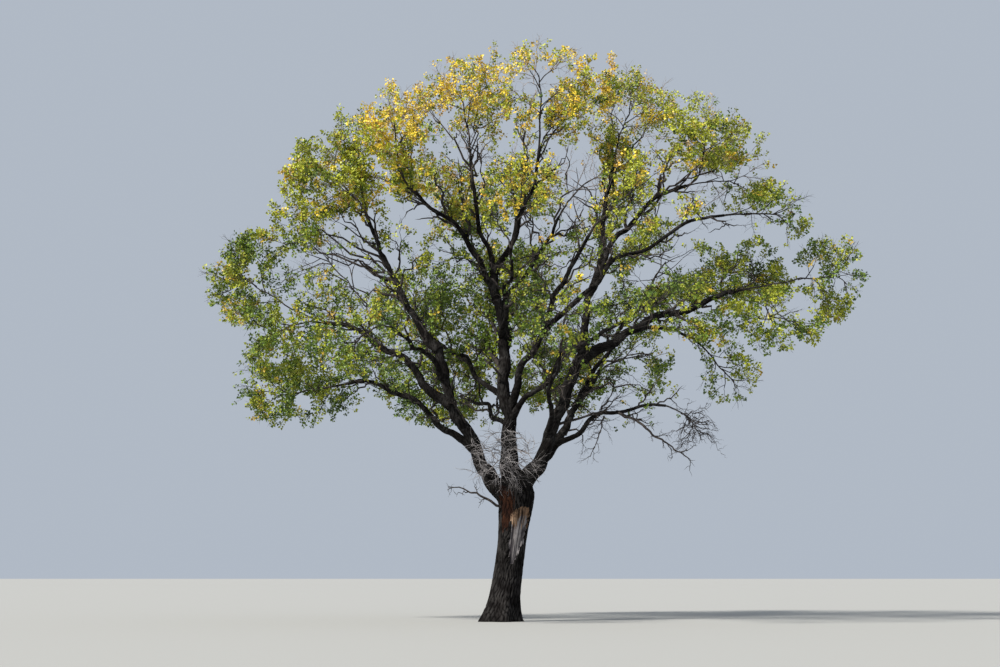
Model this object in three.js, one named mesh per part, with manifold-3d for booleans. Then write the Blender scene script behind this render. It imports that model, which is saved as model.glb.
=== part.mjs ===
// A mature, open-grown cottonwood in early autumn: a leaning trunk that forks low, long
// crooked limbs, and masses of foliage round them with sky between. Millimetres, +Z up,
// +X to the right as the tree is seen from the front, origin at the middle of the flat cut
// at ground level.
import * as THREE from "three";
import { mergeVertices } from "three/addons/utils/BufferGeometryUtils.js";
import Module from "manifold-3d";

const wasm = await Module();
wasm.setup();

const METRE = 1000;
const at = (x, y, z) => new THREE.Vector3(x, y, z).multiplyScalar(METRE);
const UP = new THREE.Vector3(0, 0, 1);
const TURN = 2 * Math.PI;

// The trunk: a short bole that leans to the right, is narrowest at head height, flares at
// the ground and swells again under the fork.
const TRUNK = {
  height: 5100,
  lean: 570,
  waist: 495,
  flare: 250,
  flareHeight: 600,
  swell: 95,
  swellFrom: 2600,
  swellTo: 4200,
  domeFrom: 4500,
  domeTop: 0.45, // share of the radius left at the very top
  buttresses: 5,
  buttressDepth: 0.16,
  buttressHeight: 700,
  sides: 18,
  rings: [0, 0.04, 0.1, 0.18, 0.32, 0.5, 0.68, 0.82, 0.9, 0.96, 1],
};

// A limb leaves its parent at a share of the parent's length, climbs at `leave` degrees
// there and at `arrive` degrees at its tip, and tapers from its root to its tip.
const limb = (name, parent, share, tip, leave, arrive, root, end) => ({
  name,
  parent,
  share,
  tip,
  leave,
  arrive,
  root,
  end,
});
const LIMBS = [
  limb("left_limb", "trunk", 0.84, at(-2.2, -0.5, 9.8), 50, 86, 225, 150),
  limb("centre_leader", "trunk", 0.9, at(-0.2, 0.3, 12.8), 88, 88, 265, 150),
  limb("right_limb", "trunk", 0.8, at(3.0, -0.6, 9.6), 68, 74, 255, 185),
  limb("right_back_limb", "trunk", 0.86, at(3.8, 2.9, 9.3), 50, 48, 180, 90),
  limb("far_left_limb", "left_limb", 0.66, at(-6.4, 0.5, 10.8), 44, 12, 165, 75),
  limb("low_left_limb", "left_limb", 0.34, at(-5.6, 1.0, 8.6), 30, -8, 130, 60),
  limb("left_front_limb", "left_limb", 0.8, at(-3.6, -4.0, 9.9), 30, 12, 105, 60),
  limb("left_upper_limb", "left_limb", 0.97, at(-4.9, -0.3, 14.7), 50, 66, 140, 65),
  limb("back_left_limb", "centre_leader", 0.42, at(-2.9, 4.2, 11.0), 32, 24, 110, 60),
  limb("back_low_left_limb", "centre_leader", 0.2, at(-1.2, 4.8, 8.4), 36, 10, 105, 60),
  limb("front_right_limb", "centre_leader", 0.3, at(4.2, -4.5, 10.1), 40, 8, 110, 55),
  limb("front_low_limb", "right_limb", 0.42, at(2.0, -5.0, 9.0), 40, 22, 100, 55),
  limb("centre_right_limb", "centre_leader", 0.34, at(3.1, -3.4, 13.3), 66, 48, 140, 60),
  limb("long_right_limb", "centre_right_limb", 0.46, at(8.1, -1.0, 14.5), 44, 10, 105, 50),
  limb("back_centre_limb", "centre_leader", 0.56, at(0.5, 5.0, 12.0), 34, 22, 105, 60),
  limb("front_upper_limb", "centre_leader", 0.68, at(0.4, -4.1, 12.7), 32, 28, 95, 55),
  limb("back_upper_right_limb", "centre_leader", 0.78, at(2.3, 3.9, 15.5), 52, 50, 110, 55),
  limb("back_upper_left_limb", "centre_leader", 0.86, at(-1.5, 3.5, 15.4), 48, 56, 100, 55),
  limb("crown_left_limb", "centre_leader", 0.9, at(-3.1, -1.0, 15.4), 66, 34, 115, 55),
  limb("top_left_limb", "centre_leader", 0.97, at(-1.1, 0.5, 17.1), 68, 84, 100, 50),
  limb("top_limb", "centre_leader", 0.97, at(1.4, -1.4, 16.8), 58, 84, 115, 50),
  limb("right_upper_limb", "right_limb", 0.98, at(4.2, 0.6, 16.6), 84, 78, 150, 60),
  limb("right_shoulder_limb", "right_upper_limb", 0.3, at(6.9, 0.3, 15.9), 64, 14, 120, 65),
  limb("right_long_limb", "right_limb", 0.95, at(8.6, 0.0, 11.9), 34, 20, 175, 85),
  limb("right_hang_limb", "right_long_limb", 0.36, at(7.4, 0.8, 10.0), 10, -38, 70, 40),
  limb("back_right_limb", "right_back_limb", 0.72, at(5.8, 4.8, 12.6), 58, 52, 100, 60),
  limb("low_right_limb", "right_back_limb", 0.4, at(5.9, -0.9, 7.6), 30, -10, 105, 45),
];

// A mass of foliage fills its reach, an ellipsoid round its centre, from the tip of a limb.
// The masses of dead twigs are bare.
const mass = (name, limbName, centre, reach, bare = false) => ({
  name,
  limbName,
  centre,
  reach,
  bare,
});
const MASSES = [
  mass("far_left_leaves", "far_left_limb", at(-9.2, 1.0, 12.45), at(2.0, 2.5, 2.1)),
  mass("outer_left_leaves", "far_left_limb", at(-7.7, -2.0, 9.9), at(2.1, 2.4, 1.6)),
  mass("low_left_leaves", "low_left_limb", at(-7.7, 1.4, 8.3), at(2.5, 2.4, 1.35)),
  mass("front_left_leaves", "left_front_limb", at(-4.5, -6.4, 9.1), at(2.1, 2.2, 1.5)),
  mass("middle_left_leaves", "left_front_limb", at(-5.7, -4.2, 12.1), at(2.2, 2.3, 1.7)),
  mass("left_shoulder_leaves", "left_upper_limb", at(-6.2, 0.0, 16.0), at(2.2, 2.8, 2.0)),
  mass("back_left_leaves", "back_left_limb", at(-3.3, 6.3, 12.7), at(2.5, 2.6, 2.1)),
  mass("back_low_left_leaves", "back_low_left_limb", at(-2.6, 7.4, 9.2), at(2.6, 2.4, 1.9)),
  mass("upper_left_leaves", "crown_left_limb", at(-3.6, -1.8, 17.1), at(2.2, 2.7, 1.9)),
  mass("top_left_leaves", "top_left_limb", at(-1.4, 0.6, 19.15), at(2.3, 2.9, 1.8)),
  mass("top_leaves", "top_limb", at(1.4, -1.9, 18.95), at(2.3, 2.7, 1.85)),
  mass("back_upper_left_leaves", "back_upper_left_limb", at(-2.3, 5.5, 17.0), at(2.4, 2.6, 2.1)),
  mass("back_upper_right_leaves", "back_upper_right_limb", at(3.2, 5.7, 17.0), at(2.5, 2.6, 2.1)),
  mass("front_upper_leaves", "front_upper_limb", at(0.7, -6.0, 14.3), at(1.9, 2.2, 1.8)),
  mass("back_centre_leaves", "back_centre_limb", at(0.8, 7.7, 13.6), at(2.5, 2.4, 2.2)),
  mass("front_right_upper_leaves", "centre_right_limb", at(4.2, -5.2, 14.1), at(1.9, 2.3, 1.8)),
  mass("right_step_leaves", "long_right_limb", at(9.75, -1.0, 14.5), at(1.7, 2.3, 1.3)),
  mass("front_right_leaves", "front_right_limb", at(5.2, -6.6, 10.5), at(1.9, 2.1, 1.5)),
  mass("front_low_leaves", "front_low_limb", at(2.1, -7.3, 9.8), at(1.6, 1.8, 1.3)),
  mass("top_right_leaves", "right_upper_limb", at(4.9, 0.9, 18.8), at(2.3, 2.8, 1.9)),
  mass("upper_right_leaves", "right_shoulder_limb", at(7.1, -1.5, 17.1), at(2.1, 2.5, 1.8)),
  mass("right_shoulder_leaves", "right_shoulder_limb", at(8.8, 2.2, 16.4), at(1.9, 2.4, 1.7)),
  mass("far_right_leaves", "right_long_limb", at(12.0, 0.0, 12.4), at(1.45, 2.2, 1.9)),
  mass("middle_right_leaves", "right_long_limb", at(9.3, 3.0, 13.0), at(2.2, 2.3, 1.4)),
  mass("low_right_leaves", "right_long_limb", at(9.3, -2.5, 10.4), at(2.4, 2.2, 1.35)),
  mass("hanging_right_leaves", "right_hang_limb", at(8.4, 0.9, 8.9), at(1.35, 1.7, 1.35)),
  mass("inner_right_leaves", "right_back_limb", at(5.3, 3.2, 9.8), at(1.6, 1.9, 1.6)),
  mass("back_low_right_leaves", "right_back_limb", at(2.4, 7.0, 9.7), at(2.4, 2.4, 1.9)),
  mass("back_right_leaves", "back_right_limb", at(6.6, 6.8, 14.0), at(2.5, 2.5, 2.2)),
  mass("low_right_twigs", "low_right_limb", at(6.7, -1.1, 6.9), at(1.6, 1.3, 1.3), true),
  mass("fork_twigs", "trunk", at(0.1, -1.5, 5.7), at(1.4, 1.0, 1.1), true),
];

const LIMB_STEP = 1150; // length of one straight stretch of a limb
const BIG_ROOT = 150; // limbs with a root this thick have more sides
const BIG_SIDES = 7;
const LIMB_SIDES = 6;
const HANDLE = 0.36; // how far a limb keeps its first and last climb
const WANDER = 0.024; // how far it strays from its sweep, as a share of its length
const GAP = 0.35; // between a limb and what it grows from
const SUNK = 20; // how far inside the limb a stem starts before it is cut clear

const STEM_SHARE = 0.8; // of the limb's tip radius, for a stem alone on it
const SHARED_STEM = 0.4; // for each of several stems on one tip
const SHARED_OFFSET = 0.52; // and how far from the middle of the tip each stands
const STEM_PAST = 0.3; // how far past the centre of its mass a stem runs
const STEM_STRETCHES = 3;
const STEM_END = 26; // radii of the stems, twigs and bare twigs
const TWIG_ROOT = 22;
const TWIG_END = 5;
const BARE_ROOT = 12;
const TWIGS = 7; // that leave each stem
const TWIG_REACH = 0.5; // of the mass's reach, where a twig ends and its last blade starts
// Where the sprays leave a twig, as shares of its length, and each one's length as a share
// of the mean reach and width as a share of its length.
const SPRAYS = [
  { share: 0.3, long: 0.76, wide: 0.9 },
  { share: 0.68, long: 0.74, wide: 0.9 },
  { share: 1, long: 0.62, wide: 0.75 },
];
const TRIES = [1, 0.92, 0.84, 0.76, 0.68, 0.6]; // lengths tried where there is little room
const TURNS = 4; // ways a spray is turned at each length
const BLADE_BROADEST = 0.4; // share of the length where it is broadest
const LAST_ROOT = 0.94; // where along the twig the last one's root is sunk
const BLADE_THICK = 44;
const SMALLEST = 2.5; // details smaller than this are smoothed away
const EDGE = 45; // kept clear between two masses
const CLEAR = 25; // kept clear between foliage and a limb
const SPACE_METRIC = new THREE.Vector3(1, 1.15, 0.85);
const CROWN_CENTRE = at(1.2, 0, 11);

// The same seed and draw always give the same number from 0 to 1, so any twig can be
// grown by itself and again.
function scramble(n) {
  n = Math.imul(n ^ (n >>> 16), 0x7feb352d);
  n = Math.imul(n ^ (n >>> 15), 0x846ca68b);
  return (n ^ (n >>> 16)) >>> 0;
}
const draw = (seed, k) => scramble((seed + Math.imul(k + 1, 0x9e3779b9)) | 0) / 2 ** 32;
const childSeed = (seed, index) => scramble((seed ^ Math.imul(index + 1, 0x85ebca6b)) | 0);

const rad = THREE.MathUtils.degToRad;
const smooth = THREE.MathUtils.smoothstep;

// The trunk's middle at a height, and its radius there in the direction of an angle.
function trunkMiddle(z) {
  return new THREE.Vector3(TRUNK.lean * Math.sin((0.25 * TURN * z) / TRUNK.height), 0, z);
}
function trunkRadius(angle, z) {
  const round =
    TRUNK.waist +
    TRUNK.flare * Math.exp(-z / TRUNK.flareHeight) +
    TRUNK.swell * smooth(z, TRUNK.swellFrom, TRUNK.swellTo);
  const lobes = TRUNK.buttressDepth * Math.exp(-z / TRUNK.buttressHeight);
  const dome = smooth(z, TRUNK.domeFrom, TRUNK.height);
  return (
    round *
    (1 + lobes * Math.cos(TRUNK.buttresses * angle + 0.6)) *
    (1 - (1 - TRUNK.domeTop) * dome * dome)
  );
}

// A limb's middle line: one sweep from its first climb to its last, with a slight wander.
class LimbCurve extends THREE.Curve {
  constructor(start, tip, leave, arrive, seed) {
    super();
    const span = tip.clone().sub(start);
    const heading = span.clone().setZ(0).normalize();
    const climb = (degrees) =>
      heading
        .clone()
        .multiplyScalar(Math.cos(rad(degrees)))
        .addScaledVector(UP, Math.sin(rad(degrees)));
    this.size = span.length();
    this.across = heading.clone().cross(UP);
    this.phases = [draw(seed, 0) * TURN, draw(seed, 1) * TURN];
    this.sweep = new THREE.CubicBezierCurve3(
      start.clone(),
      start.clone().addScaledVector(climb(leave), HANDLE * this.size),
      tip.clone().addScaledVector(climb(arrive), -HANDLE * this.size),
      tip.clone(),
    );
  }
  getPoint(t, target = new THREE.Vector3()) {
    const stray = WANDER * this.size * Math.sin(0.5 * TURN * t);
    return this.sweep
      .getPoint(t, target)
      .addScaledVector(this.across, stray * Math.sin(1.7 * TURN * t + this.phases[0]))
      .addScaledVector(UP, stray * Math.sin(2.3 * TURN * t + this.phases[1]));
  }
}

// The trunk's middle as a curve, for the limbs that leave it.
class TrunkCurve extends THREE.Curve {
  getPoint(t, target = new THREE.Vector3()) {
    return target.copy(trunkMiddle(t * TRUNK.height));
  }
}

// A curve as the straight stretches that a tube round it is made of, so that what grows
// from the tube can start right in its middle.
class Stretches extends THREE.Curve {
  constructor(curve, count) {
    super();
    this.points = curve.getSpacedPoints(count);
    this.count = count;
  }
  getPoint(t, target = new THREE.Vector3()) {
    const from = Math.min(Math.floor(t * this.count), this.count - 1);
    return target.lerpVectors(this.points[from], this.points[from + 1], t * this.count - from);
  }
}

// A closed geometry as a solid.
function solidOf(geometry) {
  geometry.deleteAttribute("normal");
  geometry.deleteAttribute("uv");
  const merged = mergeVertices(geometry, 1e-3);
  return new wasm.Manifold(
    new wasm.Mesh({
      numProp: 3,
      vertProperties: merged.attributes.position.array,
      triVerts: new Uint32Array(merged.index.array),
    }),
  );
}

// The upright cylinder's vertices, each moved to place(angle, share of the height,
// share of the radius).
function mappedCylinder(sides, steps, place) {
  const geometry = new THREE.CylinderGeometry(1, 1, 1, sides, steps);
  const position = geometry.attributes.position;
  const v = new THREE.Vector3();
  for (let i = 0; i < position.count; i++) {
    v.fromBufferAttribute(position, i);
    const share = THREE.MathUtils.clamp(v.y + 0.5, 0, 1);
    const p = place(Math.atan2(-v.z, v.x), share, Math.hypot(v.x, v.z));
    position.setXYZ(i, p.x, p.y, p.z);
  }
  return geometry;
}

function trunkSolid(grown) {
  const steps = TRUNK.rings.length - 1;
  return solidOf(
    mappedCylinder(TRUNK.sides, steps, (angle, share, out) => {
      const z = TRUNK.rings[Math.round(share * steps)] * TRUNK.height;
      const reach = out * (trunkRadius(angle, z) + grown);
      const lift = grown > 0 && share > 0.99 ? grown : 0;
      return trunkMiddle(z).add(
        new THREE.Vector3(reach * Math.cos(angle), reach * Math.sin(angle), lift),
      );
    }),
  );
}

// A tube of a few sides round a curve, with radiusAt(share of its length), grown on all
// sides by a margin.
function tubeSolid(curve, radiusAt, sides, steps, grown = 0) {
  const { tangents, normals, binormals } = curve.computeFrenetFrames(steps, false);
  const points = curve.getSpacedPoints(steps);
  points[0].addScaledVector(tangents[0], -grown);
  points[steps].addScaledVector(tangents[steps], grown);
  return solidOf(
    mappedCylinder(sides, steps, (angle, share, out) => {
      const ring = Math.round(share * steps);
      const reach = out * (radiusAt(share) + grown);
      return points[ring]
        .clone()
        .addScaledVector(normals[ring], reach * Math.cos(angle))
        .addScaledVector(binormals[ring], reach * Math.sin(angle));
    }),
  );
}

const largest = (solid) =>
  solid.decompose().reduce((best, piece) => (piece.volume() > best.volume() ? piece : best));

const touching = (a, b) => {
  const [p, q] = [a.boundingBox(), b.boundingBox()];
  return [0, 1, 2].every((k) => p.min[k] <= q.max[k] && q.min[k] <= p.max[k]);
};

// The limbs, each cut clear of what it grows from.
const grownLimbs = new Map();
grownLimbs.set("trunk", {
  curve: new TrunkCurve(),
  radiusAt: (share) => trunkRadius(0, share * TRUNK.height),
  solid: trunkSolid(0),
  cutter: trunkSolid(GAP),
});
LIMBS.forEach((row, index) => {
  const start = grownLimbs.get(row.parent).curve.getPoint(row.share);
  const curve = new LimbCurve(start, row.tip, row.leave, row.arrive, index + 1);
  const steps = Math.max(4, Math.round(curve.getLength() / LIMB_STEP));
  const sides = row.root > BIG_ROOT ? BIG_SIDES : LIMB_SIDES;
  const radiusAt = (share) => THREE.MathUtils.lerp(row.root, row.end, share);
  let solid = tubeSolid(curve, radiusAt, sides, steps);
  for (const other of grownLimbs.values())
    if (touching(solid, other.cutter)) solid = largest(solid.subtract(other.cutter));
  const cutter = tubeSolid(curve, radiusAt, sides, steps, GAP);
  grownLimbs.set(row.name, { curve, radiusAt, solid, cutter });
});

// The stem that carries each mass on from its limb's tip. Stems that share a tip stand
// evenly round its middle, each on the side of its own mass.
function growStems(rows) {
  const onTrunk = rows[0].limbName === "trunk";
  const { curve, radiusAt } = grownLimbs.get(rows[0].limbName);
  const along = onTrunk ? new THREE.Vector3(0, -1, 0.4).normalize() : curve.getTangentAt(1);
  const tip = onTrunk ? trunkMiddle(TRUNK.height * 0.93) : curve.getPointAt(1);
  const tipRadius = onTrunk ? 60 : radiusAt(1);
  const right = along.clone().cross(UP).normalize();
  const over = right.clone().cross(along);
  const fan = rows
    .map((row) => {
      const way = row.centre.clone().sub(tip);
      return { row, angle: Math.atan2(way.dot(over), way.dot(right)) };
    })
    .sort((a, b) => a.angle - b.angle);
  const apart = TURN / fan.length;
  const first = fan.reduce((sum, { angle }, k) => sum + angle - k * apart, 0) / fan.length;
  fan.forEach(({ row }, k) => {
    const angle = first + k * apart;
    const off = fan.length > 1 ? SHARED_OFFSET * tipRadius : 0;
    const start = tip
      .clone()
      .addScaledVector(along, -SUNK)
      .addScaledVector(right, off * Math.cos(angle))
      .addScaledVector(over, off * Math.sin(angle));
    const inward = row.centre.clone().sub(start).divide(row.reach).normalize();
    const end = row.centre.clone().addScaledVector(inward.multiply(row.reach), STEM_PAST);
    const bend = start.clone().addScaledVector(along, 0.35 * start.distanceTo(end));
    const root = tipRadius * (fan.length > 1 ? SHARED_STEM : STEM_SHARE);
    row.stem = {
      curve: new Stretches(new THREE.QuadraticBezierCurve3(start, bend, end), STEM_STRETCHES),
      radiusAt: (share) => THREE.MathUtils.lerp(root, Math.min(root, STEM_END), share),
    };
  });
}
for (const name of new Set(MASSES.map((row) => row.limbName)))
  growStems(MASSES.filter((row) => row.limbName === name));

// The flat walls between a mass's space and its neighbours': a wall is nearer the smaller.
const meanReach = (row) => Math.cbrt(row.reach.x * row.reach.y * row.reach.z);
for (const row of MASSES) {
  row.walls = MASSES.filter((other) => other !== row).map((other) => {
    const scale = new THREE.Vector3(1, 1, 1).divide(SPACE_METRIC).divide(SPACE_METRIC);
    const normal = row.centre.clone().sub(other.centre).multiply(scale).multiplyScalar(2);
    const weigh = (m) => m.centre.clone().multiply(m.centre).dot(scale) - meanReach(m) ** 2;
    const size = normal.length();
    return new THREE.Plane(normal.divideScalar(size), (weigh(other) - weigh(row)) / size);
  });
}
const inSpace = (row, p) =>
  p.clone().sub(row.centre).divide(row.reach).length() <= 1 &&
  row.walls.every((wall) => wall.distanceToPoint(p) > EDGE);

// Points down the middle of every limb and stem, with the radius there.
const WOOD_STEP = 90;
const woodPoints = [];
function addWood(owner, { curve, radiusAt }) {
  const steps = Math.ceil(curve.getLength() / WOOD_STEP);
  for (let i = 0; i <= steps; i++)
    woodPoints.push({ owner, point: curve.getPointAt(i / steps), radius: radiusAt(i / steps) });
}
for (const [name, grown] of grownLimbs) addWood(name, grown);
for (const row of MASSES) addWood(row.name, row.stem);

// Whether points along a twig keep clear of all wood but the mass's own stem.
const twigIsClear = (row, points, radius) =>
  woodPoints.every(
    (wood) =>
      wood.owner === row.name ||
      points.every((p) => p.distanceTo(wood.point) > wood.radius + radius + CLEAR),
  );

// Whether a blade keeps clear of it: no wood lies in the slab that the blade fills.
function bladeIsClear(row, blade) {
  const toBlade = blade.matrix.clone().invert();
  const p = new THREE.Vector3();
  return woodPoints.every((wood) => {
    if (wood.owner === row.name) return true;
    p.copy(wood.point).applyMatrix4(toBlade);
    const room = wood.radius + CLEAR;
    return (
      Math.abs(p.x) > blade.width / 2 + room ||
      p.z > room ||
      p.z < -BLADE_THICK - room ||
      p.y < -room ||
      p.y > blade.length + room
    );
  });
}

// The twigs that leave a mass's stem: spread evenly round it, more of them outward and up.
function twigsOf(row, seed) {
  const { curve } = row.stem;
  const stemWay = curve.getTangent(1);
  const outward = row.centre.clone().sub(CROWN_CENTRE).normalize();
  let entry = 0;
  while (entry < 0.9 && !inSpace(row, curve.getPointAt(entry))) entry += 0.02;
  const twigs = [];
  for (let i = 0; i < TWIGS; i++) {
    const own = childSeed(seed, i);
    const height = 1 - (2 * i + 1) / TWIGS;
    const around = i * 2.39996 + draw(seed, 0) * TURN;
    const level = Math.sqrt(1 - height * height);
    const way = new THREE.Vector3(level * Math.cos(around), level * Math.sin(around), height)
      .addScaledVector(outward, 0.3)
      .addScaledVector(UP, 0.1)
      .normalize();
    const share = entry + (1 - entry) * (0.06 + 0.9 * (0.5 + 0.5 * way.dot(stemWay)));
    const start = curve.getPointAt(Math.min(share, 0.98));
    const stretch = TWIG_REACH * (0.88 + 0.24 * draw(own, 0));
    for (const shorter of [1, 0.8, 0.6]) {
      const reached = way.clone().multiply(row.reach).multiplyScalar(stretch * shorter);
      const end = row.centre.clone().add(reached);
      const twig = new THREE.LineCurve3(start, end);
      const points = twig.getSpacedPoints(12);
      if (points.every((p) => inSpace(row, p)) && twigIsClear(row, points, TWIG_ROOT)) {
        twigs.push({ curve: twig, seed: own, way });
        break;
      }
    }
  }
  return twigs;
}

// Where a spray leaves its twig and which way it points: the last one carries on from the
// twig's tip, the others turn off to alternate sides.
function sprayPlace(row, twig, index) {
  const { share, long } = SPRAYS[index];
  const own = childSeed(twig.seed, index);
  const along = twig.curve.getTangentAt(share);
  const side = along.clone().cross(UP).normalize();
  const turn = index * 2.39996 + draw(twig.seed, 1) * TURN;
  const off = side
    .multiplyScalar(Math.cos(turn))
    .addScaledVector(side.clone().cross(along).normalize(), Math.sin(turn));
  const atTip = share === 1;
  const way = along
    .clone()
    .multiplyScalar(atTip ? 1 : 0.45)
    .addScaledVector(off, atTip ? 0.12 : 0.8)
    .addScaledVector(twig.way, 0.35)
    .normalize();
  const length = long * meanReach(row) * (0.9 + 0.2 * draw(own, 0));
  const start = twig.curve.getPointAt(atTip ? LAST_ROOT : share);
  return { own, way, length, start };
}

// A spray of leaves as one thin kite-shaped blade, broadest nearer its root. It is turned
// and shortened until it keeps to its space, clear of wood and of the other blades.
function bladeSolid(row, twig, index, others) {
  const { own, way, length: full, start } = sprayPlace(row, twig, index);
  const flat = way.clone().cross(UP).normalize();
  for (let k = 0; k < TRIES.length * TURNS; k++) {
    const length = full * TRIES[Math.floor(k / TURNS)];
    const width = length * SPRAYS[index].wide;
    const tilt = draw(own, 1 + k) * TURN;
    const normal = flat
      .clone()
      .multiplyScalar(Math.sin(tilt))
      .addScaledVector(flat.clone().cross(way), Math.cos(tilt))
      .normalize();
    const across = way.clone().cross(normal);
    const matrix = new THREE.Matrix4().makeBasis(across, way, normal).setPosition(start);
    const blade = { matrix, length, width };
    const outline = [
      [0, length],
      [-width / 2, BLADE_BROADEST * length],
      [width / 2, BLADE_BROADEST * length],
    ].map(([x, y]) => new THREE.Vector3(x, y, 0).applyMatrix4(matrix));
    if (!outline.every((p) => inSpace(row, p)) || !bladeIsClear(row, blade)) continue;
    const solid = kiteSolid(blade);
    if (others.every((other) => solid.intersect(other).isEmpty())) return solid;
  }
  return null;
}

// The blade's four faces: a ridge above from root to tip and one below from side to side.
function kiteSolid({ matrix, length, width }) {
  const geometry = new THREE.TetrahedronGeometry(1);
  const position = geometry.attributes.position;
  for (let i = 0; i < position.count; i++) {
    const x = Math.sign(position.getX(i));
    const onRidge = position.getZ(i) > 0;
    const place = onRidge ? [0, x > 0 ? length : 0] : [(x * width) / 2, BLADE_BROADEST * length];
    position.setXYZ(i, ...place, onRidge ? 0 : -BLADE_THICK);
  }
  return solidOf(geometry.applyMatrix4(matrix));
}

// A bare twiglet in a spray's place, for the dead wood.
function twigletSolid(row, twig, index) {
  const { way, length, start } = sprayPlace(row, twig, index);
  const end = start.clone().addScaledVector(way, length);
  const line = new THREE.LineCurve3(start, end);
  const points = line.getSpacedPoints(8);
  if (!points.every((p) => inSpace(row, p)) || !twigIsClear(row, points, BARE_ROOT)) return null;
  return tubeSolid(line, (s) => THREE.MathUtils.lerp(BARE_ROOT * 0.8, 5, s), 3, 1);
}

function massSolid(row, index) {
  const seed = childSeed(20260, index);
  const wood = [tubeSolid(row.stem.curve, row.stem.radiusAt, 3, STEM_STRETCHES)];
  const blades = [];
  for (const twig of twigsOf(row, seed)) {
    const root = row.bare ? BARE_ROOT : TWIG_ROOT;
    const twigRadius = (share) => THREE.MathUtils.lerp(root, TWIG_END, share);
    wood.push(tubeSolid(twig.curve, twigRadius, 3, 1));
    SPRAYS.forEach((spray, k) => {
      const piece = row.bare ? twigletSolid(row, twig, k) : bladeSolid(row, twig, k, blades);
      if (piece) blades.push(piece);
    });
  }
  let solid = wasm.Manifold.union([...wood, ...blades]);
  solid = solid.asOriginal().simplify(SMALLEST);
  return largest(solid.subtract(grownLimbs.get(row.limbName).cutter));
}

// The named meshes, with the colours of early autumn.
const BARK = new THREE.MeshStandardMaterial({ color: 0x4a4440, roughness: 0.95, metalness: 0 });
const DEAD_WOOD = new THREE.MeshStandardMaterial({ color: 0x8d8880, roughness: 0.9, metalness: 0 });
const FOLIAGE = new THREE.MeshStandardMaterial({ color: 0x8c9a32, roughness: 0.6, metalness: 0 });

function meshOf(name, solid, material) {
  const { numProp, vertProperties, triVerts } = solid.getMesh();
  const geometry = new THREE.BufferGeometry();
  const buffer = new THREE.InterleavedBuffer(vertProperties, numProp);
  geometry.setAttribute("position", new THREE.InterleavedBufferAttribute(buffer, 3, 0));
  geometry.setIndex(new THREE.BufferAttribute(triVerts, 1));
  const mesh = new THREE.Mesh(geometry, material);
  mesh.name = name;
  return mesh;
}

const tree = new THREE.Group();
tree.name = "cottonwood_tree";
for (const [name, { solid }] of grownLimbs) tree.add(meshOf(name, solid, BARK));
MASSES.forEach((row, index) => {
  tree.add(meshOf(row.name, massSolid(row, index), row.bare ? DEAD_WOOD : FOLIAGE));
});

export default tree;
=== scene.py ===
"""A mature, open-grown cottonwood in early autumn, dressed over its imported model.

The limbs, stems, twigs and sprays follow the same seeded rule as the solids, in metres, and
go on from there to finer twigs, short spurs and single leaves.
"""

import math

import bpy
import numpy as np
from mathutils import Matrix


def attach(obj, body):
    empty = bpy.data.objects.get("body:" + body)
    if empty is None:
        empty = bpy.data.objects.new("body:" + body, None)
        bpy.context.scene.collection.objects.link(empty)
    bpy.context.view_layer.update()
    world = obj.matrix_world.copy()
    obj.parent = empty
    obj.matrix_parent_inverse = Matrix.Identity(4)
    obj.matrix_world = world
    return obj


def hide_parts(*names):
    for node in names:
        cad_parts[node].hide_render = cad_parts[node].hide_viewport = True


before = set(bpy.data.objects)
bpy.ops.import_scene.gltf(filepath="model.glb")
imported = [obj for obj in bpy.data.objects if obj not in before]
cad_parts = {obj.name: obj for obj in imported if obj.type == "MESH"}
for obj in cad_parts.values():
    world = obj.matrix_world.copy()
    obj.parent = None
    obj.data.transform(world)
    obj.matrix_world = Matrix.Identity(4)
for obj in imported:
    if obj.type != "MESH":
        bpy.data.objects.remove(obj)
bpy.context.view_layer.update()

TAU = 2 * math.pi
GOLDEN = 2.39996  # the angle between one twig and the next round their stem
UP = np.array((0.0, 0.0, 1.0))
SIGHT = 60.0  # how far off the photo's camera stood
EYE_HEIGHT = 1.6
EYE_TILT = 8.277  # degrees up from level


# --- The solids' rule ---------------------------------------------------------------------
# The whole numbers that go with a seed into draw, child_seed and jitter, or are the seed
# of noise and kinked, only tell one draw from another.

TRUNK = {
    "height": 5.1,
    "lean": 0.57,
    "waist": 0.495,
    "flare": 0.25,
    "flare_height": 0.6,
    "swell": 0.095,
    "swell_from": 2.6,
    "swell_to": 4.2,
    "dome_from": 4.5,
    "dome_top": 0.45,
    "buttresses": 5,
    "buttress_depth": 0.16,
    "buttress_height": 0.7,
}

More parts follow.
